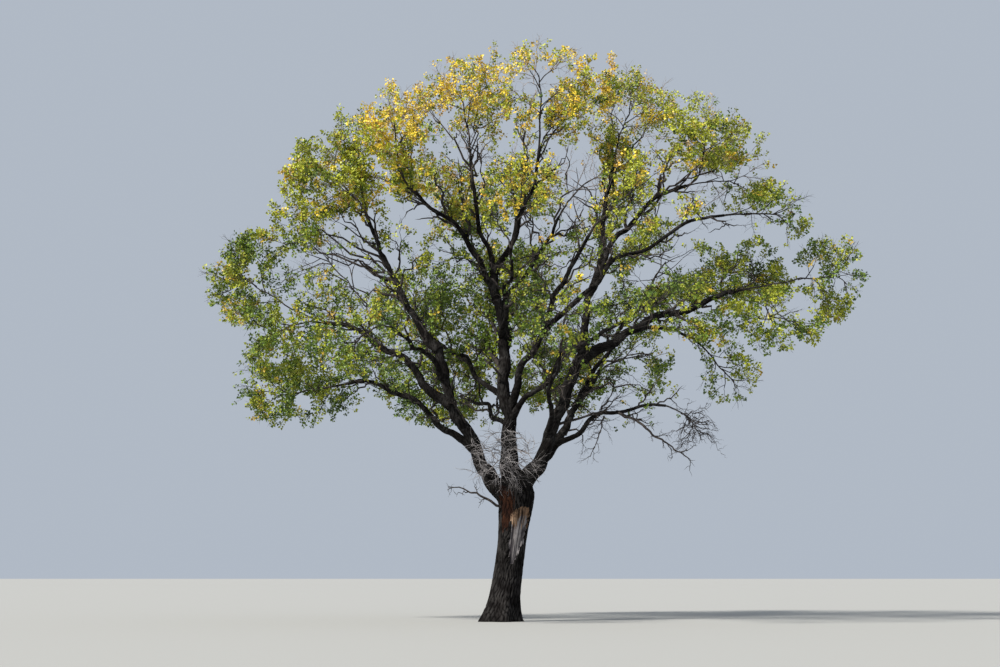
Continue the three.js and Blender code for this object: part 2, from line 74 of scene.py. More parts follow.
# name, parent, share of the parent's length, tip, climb at the root and at the tip in
# degrees, radius at the root and at the tip
LIMBS = [
    ("left_limb", "trunk", 0.84, (-2.2, -0.5, 9.8), 50, 86, 0.225, 0.150),
    ("centre_leader", "trunk", 0.9, (-0.2, 0.3, 12.8), 88, 88, 0.265, 0.150),
    ("right_limb", "trunk", 0.8, (3, -0.6, 9.6), 68, 74, 0.255, 0.185),
    ("right_back_limb", "trunk", 0.86, (3.8, 2.9, 9.3), 50, 48, 0.180, 0.090),
    ("far_left_limb", "left_limb", 0.66, (-6.4, 0.5, 10.8), 44, 12, 0.165, 0.075),
    ("low_left_limb", "left_limb", 0.34, (-5.6, 1, 8.6), 30, -8, 0.130, 0.060),
    ("left_front_limb", "left_limb", 0.8, (-3.6, -4, 9.9), 30, 12, 0.105, 0.060),
    ("left_upper_limb", "left_limb", 0.97, (-4.9, -0.3, 14.7), 50, 66, 0.140, 0.065),
    ("back_left_limb", "centre_leader", 0.42, (-2.9, 4.2, 11), 32, 24, 0.110, 0.060),
    ("back_low_left_limb", "centre_leader", 0.2, (-1.2, 4.8, 8.4), 36, 10, 0.105, 0.060),
    ("front_right_limb", "centre_leader", 0.3, (4.2, -4.5, 10.1), 40, 8, 0.110, 0.055),
    ("front_low_limb", "right_limb", 0.42, (2, -5, 9), 40, 22, 0.100, 0.055),
    ("centre_right_limb", "centre_leader", 0.34, (3.1, -3.4, 13.3), 66, 48, 0.140, 0.060),
    ("long_right_limb", "centre_right_limb", 0.46, (8.1, -1, 14.5), 44, 10, 0.105, 0.050),
    ("back_centre_limb", "centre_leader", 0.56, (0.5, 5, 12), 34, 22, 0.105, 0.060),
    ("front_upper_limb", "centre_leader", 0.68, (0.4, -4.1, 12.7), 32, 28, 0.095, 0.055),
    ("back_upper_right_limb", "centre_leader", 0.78, (2.3, 3.9, 15.5), 52, 50, 0.110, 0.055),
    ("back_upper_left_limb", "centre_leader", 0.86, (-1.5, 3.5, 15.4), 48, 56, 0.100, 0.055),
    ("crown_left_limb", "centre_leader", 0.9, (-3.1, -1, 15.4), 66, 34, 0.115, 0.055),
    ("top_left_limb", "centre_leader", 0.97, (-1.1, 0.5, 17.1), 68, 84, 0.100, 0.050),
    ("top_limb", "centre_leader", 0.97, (1.4, -1.4, 16.8), 58, 84, 0.115, 0.050),
    ("right_upper_limb", "right_limb", 0.98, (4.2, 0.6, 16.6), 84, 78, 0.150, 0.060),
    ("right_shoulder_limb", "right_upper_limb", 0.3, (6.9, 0.3, 15.9), 64, 14, 0.120, 0.065),
    ("right_long_limb", "right_limb", 0.95, (8.6, 0, 11.9), 34, 20, 0.175, 0.085),
    ("right_hang_limb", "right_long_limb", 0.36, (7.4, 0.8, 10), 10, -38, 0.070, 0.040),
    ("back_right_limb", "right_back_limb", 0.72, (5.8, 4.8, 12.6), 58, 52, 0.100, 0.060),
    ("low_right_limb", "right_back_limb", 0.4, (5.9, -0.9, 7.6), 30, -10, 0.105, 0.045),
]

# name, limb, centre, reach, share of the leaves kept, hue
# the back and low hues carry the most painted shade in their dark tints
MASSES = [
    ("far_left_leaves", "far_left_limb", (-9.2, 1, 12.45), (2, 2.5, 2.1), 0.85, "left"),
    ("outer_left_leaves", "far_left_limb", (-7.7, -2, 9.9), (2.1, 2.4, 1.6), 0.8, "left"),
    ("low_left_leaves", "low_left_limb", (-7.7, 1.4, 8.3), (2.5, 2.4, 1.35), 0.8, "left"),
    ("front_left_leaves", "left_front_limb", (-4.5, -6.4, 9.1), (2.1, 2.2, 1.5), 0.38, "left"),
    ("middle_left_leaves", "left_front_limb", (-5.7, -4.2, 12.1), (2.2, 2.3, 1.7), 0.4, "left"),
    ("left_shoulder_leaves", "left_upper_limb", (-6.2, 0, 16), (2.2, 2.8, 2), 0.9, "shoulder"),
    ("back_left_leaves", "back_left_limb", (-3.3, 6.3, 12.7), (2.5, 2.6, 2.1), 0.9, "back"),
    ("back_low_left_leaves", "back_low_left_limb", (-2.6, 7.4, 9.2), (2.6, 2.4, 1.9), 1, "back"),
    ("upper_left_leaves", "crown_left_limb", (-3.6, -1.8, 17.1), (2.2, 2.7, 1.9), 0.75, "top"),
    ("top_left_leaves", "top_left_limb", (-1.4, 0.6, 19.15), (2.3, 2.9, 1.8), 0.55, "top"),
    ("top_leaves", "top_limb", (1.4, -1.9, 18.95), (2.3, 2.7, 1.85), 0.5, "top"),
    ("back_upper_left_leaves", "back_upper_left_limb", (-2.3, 5.5, 17), (2.4, 2.6, 2.1), 0.6,
     "high"),
    ("back_upper_right_leaves", "back_upper_right_limb", (3.2, 5.7, 17), (2.5, 2.6, 2.1), 0.6,
     "high"),
    ("front_upper_leaves", "front_upper_limb", (0.7, -6, 14.3), (1.9, 2.2, 1.8), 0.36, "high"),
    ("back_centre_leaves", "back_centre_limb", (0.8, 7.7, 13.6), (2.5, 2.4, 2.2), 0.9, "back"),
    ("front_right_upper_leaves", "centre_right_limb", (4.2, -5.2, 14.1), (1.9, 2.3, 1.8), 0.34,
     "high"),
    ("right_step_leaves", "long_right_limb", (9.75, -1, 14.5), (1.7, 2.3, 1.3), 0.75, "right"),
    ("front_right_leaves", "front_right_limb", (5.2, -6.6, 10.5), (1.9, 2.1, 1.5), 0.38, "right"),
    ("front_low_leaves", "front_low_limb", (2.1, -7.3, 9.8), (1.6, 1.8, 1.3), 0.36, "right"),
    ("top_right_leaves", "right_upper_limb", (4.9, 0.9, 18.8), (2.3, 2.8, 1.9), 0.8, "shoulder"),
    ("upper_right_leaves", "right_shoulder_limb", (7.1, -1.5, 17.1), (2.1, 2.5, 1.8), 0.85,
     "shoulder"),
    ("right_shoulder_leaves", "right_shoulder_limb", (8.8, 2.2, 16.4), (1.9, 2.4, 1.7), 0.85,
     "right"),
    ("far_right_leaves", "right_long_limb", (12, 0, 12.4), (1.45, 2.2, 1.9), 0.8, "right"),
    ("middle_right_leaves", "right_long_limb", (9.3, 3, 13), (2.2, 2.3, 1.4), 0.9, "right"),
    ("low_right_leaves", "right_long_limb", (9.3, -2.5, 10.4), (2.4, 2.2, 1.35), 0.8, "right"),
    ("hanging_right_leaves", "right_hang_limb", (8.4, 0.9, 8.9), (1.35, 1.7, 1.35), 0.6, "low"),
    ("inner_right_leaves", "right_back_limb", (5.3, 3.2, 9.8), (1.6, 1.9, 1.6), 0.8, "low"),
    ("back_low_right_leaves", "right_back_limb", (2.4, 7, 9.7), (2.4, 2.4, 1.9), 1, "back"),
    ("back_right_leaves", "back_right_limb", (6.6, 6.8, 14), (2.5, 2.5, 2.2), 0.8, "back"),
    ("low_right_twigs", "low_right_limb", (6.7, -1.1, 6.9), (1.6, 1.3, 1.3), 0, "bare"),
    ("fork_twigs", "trunk", (0.1, -1.5, 5.7), (1.4, 1, 1.1), 0, "bare"),
]

HANDLE = 0.36  # how far a limb keeps its first and last climb
WANDER = 0.024  # how far it strays from its sweep, as a share of its length
SUNK = 0.02  # how far inside the limb a stem starts
STEM_SHARE = 0.8  # of the limb's tip radius, for a stem alone on it
SHARED_STEM = 0.4  # for each of several stems on one tip
SHARED_OFFSET = 0.52
STEM_PAST = 0.3  # how far past the centre of its mass a stem runs
STEM_STRETCHES = 3
STEM_BEND = 0.35  # how far it follows its limb's way, as a share of its length
# the way, height as a share of the trunk's, and radius of what the fork's stem starts from
FORK_STEM = ((0, -1, 0.4), 0.93, 0.06)
STEM_END = 0.026  # radii of the stems, twigs and bare twigs
TWIG_ROOT = 0.022
BARE_ROOT = 0.012
TWIGS = 7  # that leave each stem
TWIG_REACH = 0.5  # share of the mass's reach, and the smallest and the spread of its changes
TWIG_LONG = (0.88, 0.24)
# where the sprays leave a twig, and each one's length and width
SPRAYS = [(0.3, 0.76, 0.9), (0.68, 0.74, 0.9), (1.0, 0.62, 0.75)]
SPRAY_LONG = (0.9, 0.2)  # the smallest and the spread of the changes in that length
# the lengths that a spray tries, as shares of its own, and how many turns at each
TRIES = (1, 0.92, 0.84, 0.76, 0.68, 0.6)
TURNS = 4
BROADEST = 0.4  # share of a spray's length where it is broadest
LAST_ROOT = 0.94  # share of a twig where its last spray's solid starts
BLADE_THICK = 0.044  # of a spray's solid
EDGE = 0.045  # kept clear between two masses
CLEAR = 0.025  # kept clear between foliage and a limb
SPACE_METRIC = np.array((1, 1.15, 0.85))
CROWN_CENTRE = np.array((1.2, 0, 11))
WOOD_STEP = 0.09  # from one place to the next where limbs and stems are kept clear


def whole(n):
    """A whole number, or an array of them, kept to 32 bits."""
    return np.asarray(n, dtype=np.uint64) & np.uint64(0xFFFFFFFF)


def scramble(n):
    n = whole(n)
    n = whole((n ^ (n >> np.uint64(16))) * np.uint64(0x7FEB352D))
    n = whole((n ^ (n >> np.uint64(15))) * np.uint64(0x846CA68B))
    return n ^ (n >> np.uint64(16))


def draw(seed, k):
    """A number from 0 to 1, always the same for the same seed and k. Either may be an array."""
    step = whole((whole(k) + np.uint64(1)) * np.uint64(0x9E3779B9))
    return scramble(whole(seed) + step) / 2.0**32


def vary(seed, k, low, more):
    """A number from low to low + more, drawn in the same way."""
    return low + more * draw(seed, k)


def child_seed(seed, index):
    return scramble(whole(seed) ^ whole((whole(index) + np.uint64(1)) * np.uint64(0x85EBCA6B)))


def unit(v):
    v = np.asarray(v, float)
    return v / np.maximum(np.linalg.norm(v, axis=-1, keepdims=True), 1e-12)


def smooth(x, low, high):
    t = np.clip((np.asarray(x, float) - low) / (high - low), 0, 1)
    return t * t * (3 - 2 * t)


def mix(a, b, t):
    return a + (b - a) * t


def evenly(count):
    """So many shares, evenly from 0 to 1."""
    return np.linspace(0, 1, count)


def steps_along(points):
    """How far along a line each of its points lies."""
    return np.concatenate([[0], np.cumsum(np.linalg.norm(np.diff(points, axis=0), axis=1))])


def ways_along(points):
    return unit(np.gradient(points, axis=0))


def straight(stops, t):
    """Places at marks from 0 to 1 along the straight stretches between stops."""
    marks = evenly(len(stops))
    return np.stack([np.interp(np.atleast_1d(t), marks, stops[:, k]) for k in range(3)], -1)


def arc(start, middle, end, t):
    """Places at marks from 0 to 1 along a bend that leaves start toward the middle."""
    t = np.atleast_1d(t)[:, None]
    return (1 - t) ** 2 * start + 2 * (1 - t) * t * middle + t**2 * end


class Curve:
    """A line through space, followed by its own marks or by shares of its length."""

    def __init__(self, at):
        self.at = at
        self.marks = evenly(201)
        self.lengths = steps_along(at(self.marks))
        self.length = self.lengths[-1]

    def mark(self, share):
        return np.interp(np.atleast_1d(share) * self.length, self.lengths, self.marks)

    def points(self, share):
        return self.at(self.mark(share))

    def point(self, share):
        return self.points(share)[0]

    def ways(self, share):
        t = self.mark(share)
        return unit(self.at(np.minimum(t + 1e-4, 1)) - self.at(np.maximum(t - 1e-4, 0)))

    def way(self, share):
        return self.ways(share)[0]


def trunk_middle(z):
    z = np.atleast_1d(np.asarray(z, float))
    lean = TRUNK["lean"] * np.sin(0.25 * TAU * z / TRUNK["height"])
    return np.stack([lean, np.zeros_like(z), z], -1)


def trunk_radius(angle, z):
    t = TRUNK
    swell = t["swell"] * smooth(z, t["swell_from"], t["swell_to"])
    plain = t["waist"] + t["flare"] * np.exp(-z / t["flare_height"]) + swell
    lobes = t["buttress_depth"] * np.exp(-z / t["buttress_height"])
    dome = smooth(z, t["dome_from"], t["height"]) ** 2
    wave = np.cos(t["buttresses"] * angle + 0.6)
    return plain * (1 + lobes * wave) * (1 - (1 - t["dome_top"]) * dome)


def limb_curve(start, tip, leave, arrive, seed):
    span = tip - start
    size = np.linalg.norm(span)
    heading = unit(span * (1, 1, 0))
    across = np.cross(heading, UP)
    phases = [float(draw(seed, k)) * TAU for k in (0, 1)]
    first, last = [
        heading * math.cos(math.radians(a)) + UP * math.sin(math.radians(a))
        for a in (leave, arrive)
    ]
    knots = [start, start + first * HANDLE * size, tip - last * HANDLE * size, tip]

    def at(t):
        t = np.atleast_1d(t)[:, None]
        weights = ((1 - t) ** 3, 3 * (1 - t) ** 2 * t, 3 * (1 - t) * t**2, t**3)
        stray = WANDER * size * np.sin(0.5 * TAU * t)
        return (
            sum(w * k for w, k in zip(weights, knots))
            + across * stray * np.sin(1.7 * TAU * t + phases[0])
            + UP * stray * np.sin(2.3 * TAU * t + phases[1])
        )

    return Curve(at)


class Limb:
    def __init__(self, curve, root, end):
        self.curve, self.root, self.end = curve, root, end

    def radius(self, share):
        return mix(self.root, self.end, share)


class Mass:
    def __init__(self, index, name, limb, centre, reach, leafage, hue):
        self.index, self.name, self.limb, self.leafage, self.hue = index, name, limb, leafage, hue
        self.centre, self.reach = np.array(centre, float), np.array(reach, float)
        self.mean = float(np.cbrt(np.prod(self.reach)))
        self.bare = hue == "bare"
        self.seed = int(child_seed(20260, index))

    def holds(self, points, full=1.0, edge=EDGE):
        """Whether points lie in the mass's own space: its reach, within its walls."""
        inside = np.linalg.norm((points - self.centre) / self.reach, axis=-1) <= full
        for start in range(0, len(points), 20000):
            part = slice(start, start + 20000)
            far = points[part] @ self.wall_normals.T + self.wall_places
            inside[part] &= (far > edge).all(-1)
        return inside


limbs = {"trunk": Limb(Curve(lambda t: trunk_middle(np.atleast_1d(t) * TRUNK["height"])), 0, 0)}
limbs["trunk"].radius = lambda share: trunk_radius(0, np.asarray(share) * TRUNK["height"])
for number, row in enumerate(LIMBS):
    name, parent, share, tip, leave, arrive, root, end = row
    start = limbs[parent].curve.at(share)[0]
    curve = limb_curve(start, np.array(tip, float), leave, arrive, number + 1)
    limbs[name] = Limb(curve, root, end)
masses = [Mass(index, *row) for index, row in enumerate(MASSES)]


def grow_stems(rows):
    """The stem that carries each mass on from its limb's tip, as the straight stretches of
    its solid and as a smooth sweep. Stems that share a tip stand evenly round its middle,
    each on the side of its own mass."""
    if rows[0].limb == "trunk":
        along, height, tip_radius = unit(FORK_STEM[0]), *FORK_STEM[1:]
        tip = trunk_middle(TRUNK["height"] * height)[0]
    else:
        limb = limbs[rows[0].limb]
        along, tip, tip_radius = limb.curve.way(1), limb.curve.point(1), limb.end
    right = unit(np.cross(along, UP))
    over = np.cross(right, along)
    angles = [
        math.atan2((row.centre - tip) @ over, (row.centre - tip) @ right) for row in rows
    ]
    order = sorted(range(len(rows)), key=lambda k: angles[k])
    apart = TAU / len(rows)
    first = sum(angles[k] - place * apart for place, k in enumerate(order)) / len(rows)
    shared = len(rows) > 1
    for place, k in enumerate(order):
        row, angle = rows[k], first + place * apart
        off = SHARED_OFFSET * tip_radius if shared else 0
        start = tip - along * SUNK + off * (right * math.cos(angle) + over * math.sin(angle))
        inward = unit((row.centre - start) / row.reach)
        end = row.centre + inward * row.reach * STEM_PAST
        bend = start + along * STEM_BEND * np.linalg.norm(end - start)
        row.stem_root = tip_radius * (SHARED_STEM if shared else STEM_SHARE)
        row.stem_sweep = Curve(lambda t, s=start, b=bend, e=end: arc(s, b, e, t))
        knots = row.stem_sweep.points(evenly(STEM_STRETCHES + 1))
        row.stem = Curve(lambda t, knots=knots: straight(knots, t))


for limb_name in dict.fromkeys(m.limb for m in masses):
    grow_stems([m for m in masses if m.limb == limb_name])

# the plane between each two masses, which ends the space of both
scale = 1 / SPACE_METRIC**2
weights = [(m.centre**2) @ scale - m.mean**2 for m in masses]
for m in masses:
    others = [o for o in masses if o is not m]
    normals = np.array([(m.centre - o.centre) * scale * 2 for o in others])
    sizes = np.linalg.norm(normals, axis=1)
    m.wall_normals = normals / sizes[:, None]
    m.wall_places = np.array([weights[o.index] - weights[m.index] for o in others]) / sizes


def wood_along(curve, radius, owner):
    shares = evenly(math.ceil(curve.length / WOOD_STEP) + 1)
    return curve.points(shares), radius(shares), np.full(len(shares), owner)


def stem_radius(m):
    return lambda share: mix(m.stem_root, min(m.stem_root, STEM_END), share)


wood = [wood_along(limb.curve, limb.radius, -1) for limb in limbs.values()]
wood += [wood_along(m.stem, stem_radius(m), m.index) for m in masses]
wood_points, wood_radii, wood_owner = [np.concatenate(column) for column in zip(*wood)]


def twig_is_clear(m, points, radius):
    foreign = wood_owner != m.index
    gaps = np.linalg.norm(points[:, None] - wood_points[foreign][None], axis=-1)
    return bool((gaps > wood_radii[foreign] + radius + CLEAR).all())


def twigs_of(m):
    """The twigs that leave a mass's stem: spread evenly round it, more of them outward."""
    stem_way = unit(m.stem.at(1)[0] - m.stem.at(1 - 1e-4)[0])
    outward = unit(m.centre - CROWN_CENTRE)
    entry = 0.0
    while entry < 0.9 and not m.holds(m.stem.points(entry))[0]:
        entry += 0.02
    twigs = []
    for i in range(TWIGS):
        own = int(child_seed(m.seed, i))
        height = 1 - (2 * i + 1) / TWIGS
        around = i * GOLDEN + float(draw(m.seed, 0)) * TAU
        level = math.sqrt(1 - height * height)
        way = np.array((level * math.cos(around), level * math.sin(around), height))
        way = unit(way + outward * 0.3 + UP * 0.1)
        share = min(entry + (1 - entry) * (0.06 + 0.9 * (0.5 + 0.5 * way @ stem_way)), 0.98)
        start = m.stem.point(share)
        stretch = TWIG_REACH * vary(own, 0, *TWIG_LONG)
        for shorter in (1, 0.8, 0.6):
            end = m.centre + way * m.reach * stretch * shorter
            points = mix(start, end, np.linspace(0, 1, 13)[:, None])
            if m.holds(points).all() and twig_is_clear(m, points, TWIG_ROOT):
                twigs.append({"start": start, "end": end, "seed": own, "way": way, "share": share})
                break
    return twigs


def blade_corners(start, across, way, normal, length, width):
    """The four corners of a spray's solid: its root and tip, and its two sides."""
    side = way * BROADEST * length - normal * BLADE_THICK
    return start + np.array(
        [way * 0, way * length, side - across * width / 2, side + across * width / 2]
    )


def crosses(a, b):
    """Whether two four-cornered solids overlap: no axis tells them apart."""
    pairs = [(0, 1), (0, 2), (0, 3), (1, 2), (1, 3), (2, 3)]
    edges_a, edges_b = [np.array([solid[j] - solid[i] for i, j in pairs]) for solid in (a, b)]
    sides = ((0, 1), (0, 2), (1, 2), (3, 4))
    faces = [np.cross(edges[i], edges[j]) for edges in (edges_a, edges_b) for i, j in sides]
    axes = np.concatenate([faces, np.cross(edges_a[:, None], edges_b[None]).reshape(-1, 3)])
    on_a, on_b = axes @ a.T, axes @ b.T
    apart = (on_a.max(1) < on_b.min(1)) | (on_b.max(1) < on_a.min(1))
    return not bool(apart.any())


def blade_is_clear(m, start, axes, length, width):
    foreign = wood_owner != m.index
    p = (wood_points[foreign] - start) @ axes.T
    room = wood_radii[foreign] + CLEAR
    outside = (
        (np.abs(p[:, 0]) > width / 2 + room)
        | (p[:, 2] > room)
        | (p[:, 2] < -BLADE_THICK - room)
        | (p[:, 1] < -room)
        | (p[:, 1] > length + room)
    )
    return bool(outside.all())


def place_spray(m, twig, index, others):
    """A spray's seed, way, normal, length and width, turned and shortened as its solid is
    until it finds room. None if it finds none."""
    share, long, broad = SPRAYS[index]
    own = int(child_seed(twig["seed"], index))
    along = unit(twig["end"] - twig["start"])
    side = unit(np.cross(along, UP))
    turn = index * GOLDEN + float(draw(twig["seed"], 1)) * TAU
    off = side * math.cos(turn) + unit(np.cross(side * math.cos(turn), along)) * math.sin(turn)
    onward, aside, at = (1, 0.12, LAST_ROOT) if share == 1 else (0.45, 0.8, share)
    way = unit(along * onward + off * aside + twig["way"] * 0.35)
    full = long * m.mean * vary(own, 0, *SPRAY_LONG)
    start = mix(twig["start"], twig["end"], at)
    flat = unit(np.cross(way, UP))
    for k in range(len(TRIES) * TURNS):
        length = full * TRIES[k // TURNS]
        width = length * broad
        tilt = float(draw(own, 1 + k)) * TAU
        normal = unit(flat * math.sin(tilt) + np.cross(flat, way) * math.cos(tilt))
        across = np.cross(way, normal)
        widest = start + way * BROADEST * length
        outline = np.array(
            [start + way * length, widest - across * width / 2, widest + across * width / 2]
        )
        if not m.holds(outline).all():
            continue
        if not blade_is_clear(m, start, np.array([across, way, normal]), length, width):
            continue
        corners = blade_corners(start, across, way, normal, length, width)
        if any(crosses(corners, other) for other in others):
            continue
        others.append(corners)
        return own, way, normal, length, width
    return None


# --- Mesh tools ---------------------------------------------------------------------------


def add_mesh(name, vertices, triangles, materials, replaced, shade=True, faces=None):
    """A mesh object of triangles that rides on the tree's one body."""
    mesh = bpy.data.meshes.new(name)
    mesh.vertices.add(len(vertices))
    mesh.vertices.foreach_set("co", np.ascontiguousarray(vertices, np.float32).ravel())
    mesh.loops.add(len(triangles) * 3)
    mesh.loops.foreach_set("vertex_index", np.ascontiguousarray(triangles, np.int32).ravel())
    mesh.polygons.add(len(triangles))
    mesh.polygons.foreach_set("loop_start", np.arange(0, len(triangles) * 3, 3, dtype=np.int32))
    if faces is not None:
        mesh.polygons.foreach_set("material_index", faces.astype(np.int32))
    mesh.update(calc_edges=True)
    mesh.polygons.foreach_set("use_smooth", np.full(len(triangles), shade))
    for material in materials:
        mesh.materials.append(material)
    made = bpy.data.objects.new(name, mesh)
    bpy.context.scene.collection.objects.link(made)
    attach(made, "root")
    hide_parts(*replaced)
    return made


def add_attribute(made, name, kind, values):
    attribute = made.data.attributes.new(name, kind, "POINT")
    key = "vector" if kind == "FLOAT_VECTOR" else "value"
    attribute.data.foreach_set(key, np.ascontiguousarray(values, np.float32).ravel())


def noise(points, seed):
    """Smooth noise from -1 to 1 at points, one lattice cell a unit."""
    base = np.floor(points)
    inner = points - base
    inner = inner * inner * (3 - 2 * inner)
    base = base.astype(np.int64)
    total = np.zeros(len(points))
    for corner in range(8):
        step = np.array([corner & 1, corner >> 1 & 1, corner >> 2 & 1])
        cell = base + step
        key = (cell[:, 0] * 73856093) ^ (cell[:, 1] * 19349663) ^ (cell[:, 2] * 83492791)
        value = draw(key.astype(np.uint64), seed)
        total += value * np.prod(np.where(step, inner, 1 - inner), axis=1)
    return 2 * total - 1


def frames_along(points):
    """Two directions across a line at each of its points, turning as little as they can."""
    ways = ways_along(points)
    helper = np.array((0, 1.0, 0)) if abs(ways[0][1]) < 0.9 else np.array((1.0, 0, 0))
    first = [unit(np.cross(ways[0], helper))]
    for way in ways[1:]:
        first.append(unit(first[-1] - way * (first[-1] @ way)))
    first = np.array(first)
    return first, np.cross(ways, first)


def ring_faces(rings, sides):
    """Triangles that join each ring of a tube to the next."""
    i, j = np.meshgrid(np.arange(rings - 1), np.arange(sides), indexing="ij")
    a, b = i * sides + j, i * sides + (j + 1) % sides
    c, d = a + sides, b + sides
    return np.concatenate(
        [np.stack([a, b, d], -1).reshape(-1, 3), np.stack([a, d, c], -1).reshape(-1, 3)]
    )


def cap_faces(first, sides, middle, flip=False):
    """Triangles from the ring that starts at a vertex to one vertex in the middle."""
    j = np.arange(sides)
    a, b = first + j, first + (j + 1) % sides
    return np.stack([b, a, np.full(sides, middle)] if flip else [a, b, np.full(sides, middle)], -1)


# --- Materials ----------------------------------------------------------------------------


def principled(name, colour, roughness, specular=0.5):
    material = bpy.data.materials.new(name)
    material.use_nodes = True
    inputs = material.node_tree.nodes["Principled BSDF"].inputs
    inputs["Base Color"].default_value = (*colour, 1)
    inputs["Roughness"].default_value = roughness
    inputs["Specular IOR Level"].default_value = specular
    return material


def add_node(material, kind, fields=(), **inputs):
    node = material.node_tree.nodes.new(f"ShaderNode{kind}")
    for key, value in fields:
        setattr(node, key, value)
    for key, value in inputs.items():
        node.inputs[key].default_value = value
    return node


def add_ramp(material, *stops):
    """A colour ramp of two stops, each a position and a colour."""
    node = add_node(material, "ValToRGB")
    for element, (position, colour) in zip(node.color_ramp.elements, stops):
        element.position, element.color = position, (*colour, 1)
    return node


def join(material, *links):
    for start, output, end, socket in links:
        material.node_tree.links.new(start.outputs[output], end.inputs[socket])


def bark_material(name, ridge, furrow, pale, grain_scale):
    """Bark with painted shade that darkens its furrows below its ridges, with pale patches and
    fine flakes.
    """
    material = principled(name, ridge, 0.92, 0.06)
    shader = material.node_tree.nodes["Principled BSDF"]
    grain = add_node(material, "Attribute", [("attribute_name", "grain")])
    sunk = add_node(material, "Attribute", [("attribute_name", "sunk")])
    stretch = add_node(material, "Mapping", Scale=(1, 1, 0.28))
    fine = add_node(material, "TexNoise", Scale=grain_scale, Detail=8, Roughness=0.7)
    broad = add_node(material, "TexNoise", Scale=2.2, Detail=4)
    patches = add_ramp(material, (0.42, ridge), (0.66, pale))
    tones = add_ramp(material, (0.3, (0.35, 0.34, 0.34)), (0.72, (1.5, 1.47, 1.42)))
    colours = ("data_type", "RGBA")
    flakes = add_node(material, "Mix", [colours, ("blend_type", "MULTIPLY")], Factor=0.75)
    # painted shade: the deeper a place lies in a furrow, the nearer its colour comes to the dark
    # furrow colour
    deep = add_node(material, "Mix", [colours], B=(*furrow, 1))
    bump = add_node(material, "Bump", Strength=0.6, Distance=0.012)
    join(
        material,
        (grain, "Vector", stretch, "Vector"),
        (stretch, "Vector", fine, "Vector"),
        (grain, "Vector", broad, "Vector"),
        (broad, "Fac", patches, "Fac"),
        (fine, "Fac", tones, "Fac"),
        (patches, "Color", flakes, "A"),
        (tones, "Color", flakes, "B"),
        (flakes, "Result", deep, "A"),
        (sunk, "Fac", deep, "Factor"),
        (deep, "Result", shader, "Base Color"),
        (fine, "Fac", bump, "Height"),
        (bump, "Normal", shader, "Normal"),
    )
    return material


def speckled(name, dark, light, scale, roughness):
    """A fine bark in two tones."""
    material = principled(name, light, roughness, 0.1)
    shader = material.node_tree.nodes["Principled BSDF"]
    place = add_node(material, "TexCoord")
    spots = add_node(material, "TexNoise", Scale=scale, Detail=6)
    tones = add_ramp(material, (0.35, dark), (0.65, light))
    join(
        material,
        (place, "Object", spots, "Vector"),
        (spots, "Fac", tones, "Fac"),
        (tones, "Color", shader, "Base Color"),
    )
    return material


# ridges, the painted shade of the furrows (in the scar's wood also its weathering), pale patches
# and the scale of the grain
SHADED_TRUNK_BARK, SHADED_LIMB_BARK, BARE_WOOD, BROWN_WOOD, ROTTEN_WOOD = [
    bark_material(*row)
    for row in (
        # painted shade: the trunk's and the limbs' bark are far darker than their own grey-brown,
        # standing in for the crown's shade over them
        ("deep_bark", (0.010, 0.009, 0.009), (0.0015, 0.0012, 0.0012), (0.038, 0.036, 0.036), 14),
        ("limb_bark", (0.010, 0.009, 0.009), (0.002, 0.0016, 0.0016), (0.040, 0.039, 0.039), 22),
        ("bare_wood", (0.19, 0.178, 0.182), (0.025, 0.022, 0.026), (0.36, 0.34, 0.35), 10),
        ("brown_wood", (0.17, 0.100, 0.062), (0.02, 0.012, 0.008), (0.38, 0.27, 0.19), 10),
        ("rotten_wood", (0.018, 0.008, 0.006), (0.005, 0.0025, 0.002), (0.044, 0.018, 0.010), 18),
    )
]
# dark and light speckles, their scale and the roughness
TWIG_BARK, PALE_LIT_BARK, DEAD_WOOD, DARK_WOOD = [
    speckled(*row)
    for row in (
        ("twig_bark", (0.016, 0.014, 0.013), (0.070, 0.060, 0.056), 9, 0.85),
        # painted light: the twigs at the top of the crown are far paler than those below, for the
        # sun they catch, over their own paler young bark
        ("pale_lit_twig_bark", (0.13, 0.105, 0.095), (0.36, 0.30, 0.275), 9, 0.8),
        ("dead_wood", (0.045, 0.041, 0.043), (0.34, 0.32, 0.325), 3.5, 0.9),
        ("dark_dead_wood", (0.020, 0.018, 0.018), (0.095, 0.086, 0.086), 7, 0.9),
    )
]


# --- Trunk and limbs ----------------------------------------------------------------------

SIDES = 144  # of the trunk, and the height of its rings
RING = 0.028
TRUNK_FURROW = 0.115  # from one furrow of the trunk to the next, and of a thin limb
LIMB_FURROW = 0.055
LIMB_DEPTH = 0.085  # of a limb's furrows, as a share of its root's radius
# how far the trunk's ridges stand out, and how deep its furrows, scar and rot are
RIDGE, FURROW_DEPTH, SCAR_DEPTH, ROT_DEPTH = 0.012, 0.042, 0.045, 0.05
LIP, STRAND = 0.02, 0.008  # of the bark's edge round the scar, and of the wood in it
SCAR = (2.0, 4.02, 0.6)  # its foot, its top, and half its width as an angle
ROT = (-2.25, 3.95, 0.5)  # the angle and height of its middle, and its size
BROWN_ABOVE = 3.45  # height above which the scar's wood is brown
SPREAD_OUT = 0.34  # how far a limb bulges outward where it leaves the trunk
RIGHT_SPREAD = 0.42  # the same for the right limb
SPREAD_AT = 0.8  # how far along a limb that bulge is widest
CROOK = 0.065  # how far a limb's crooks shift it, and how much more by its radius
CROOK_BY_RADIUS = 0.55
CALM = 0.45  # share of its crooks that the low limb at the back left keeps
NARROWS = (0.24, 3.7, 4.6)  # how far the trunk itself narrows under the fork, and where
FORK_FROM = 3.2  # height from which the trunk swells out to meet the limbs
SINKS = (4.5, 5.05)  # where its surface sinks under theirs
FILLET = (0.13, 0.02)  # how softly it swells out below that and above it
COLLAR = (-0.2, 4.55, 0.08)  # angle, height and size of the swelling under the right limb


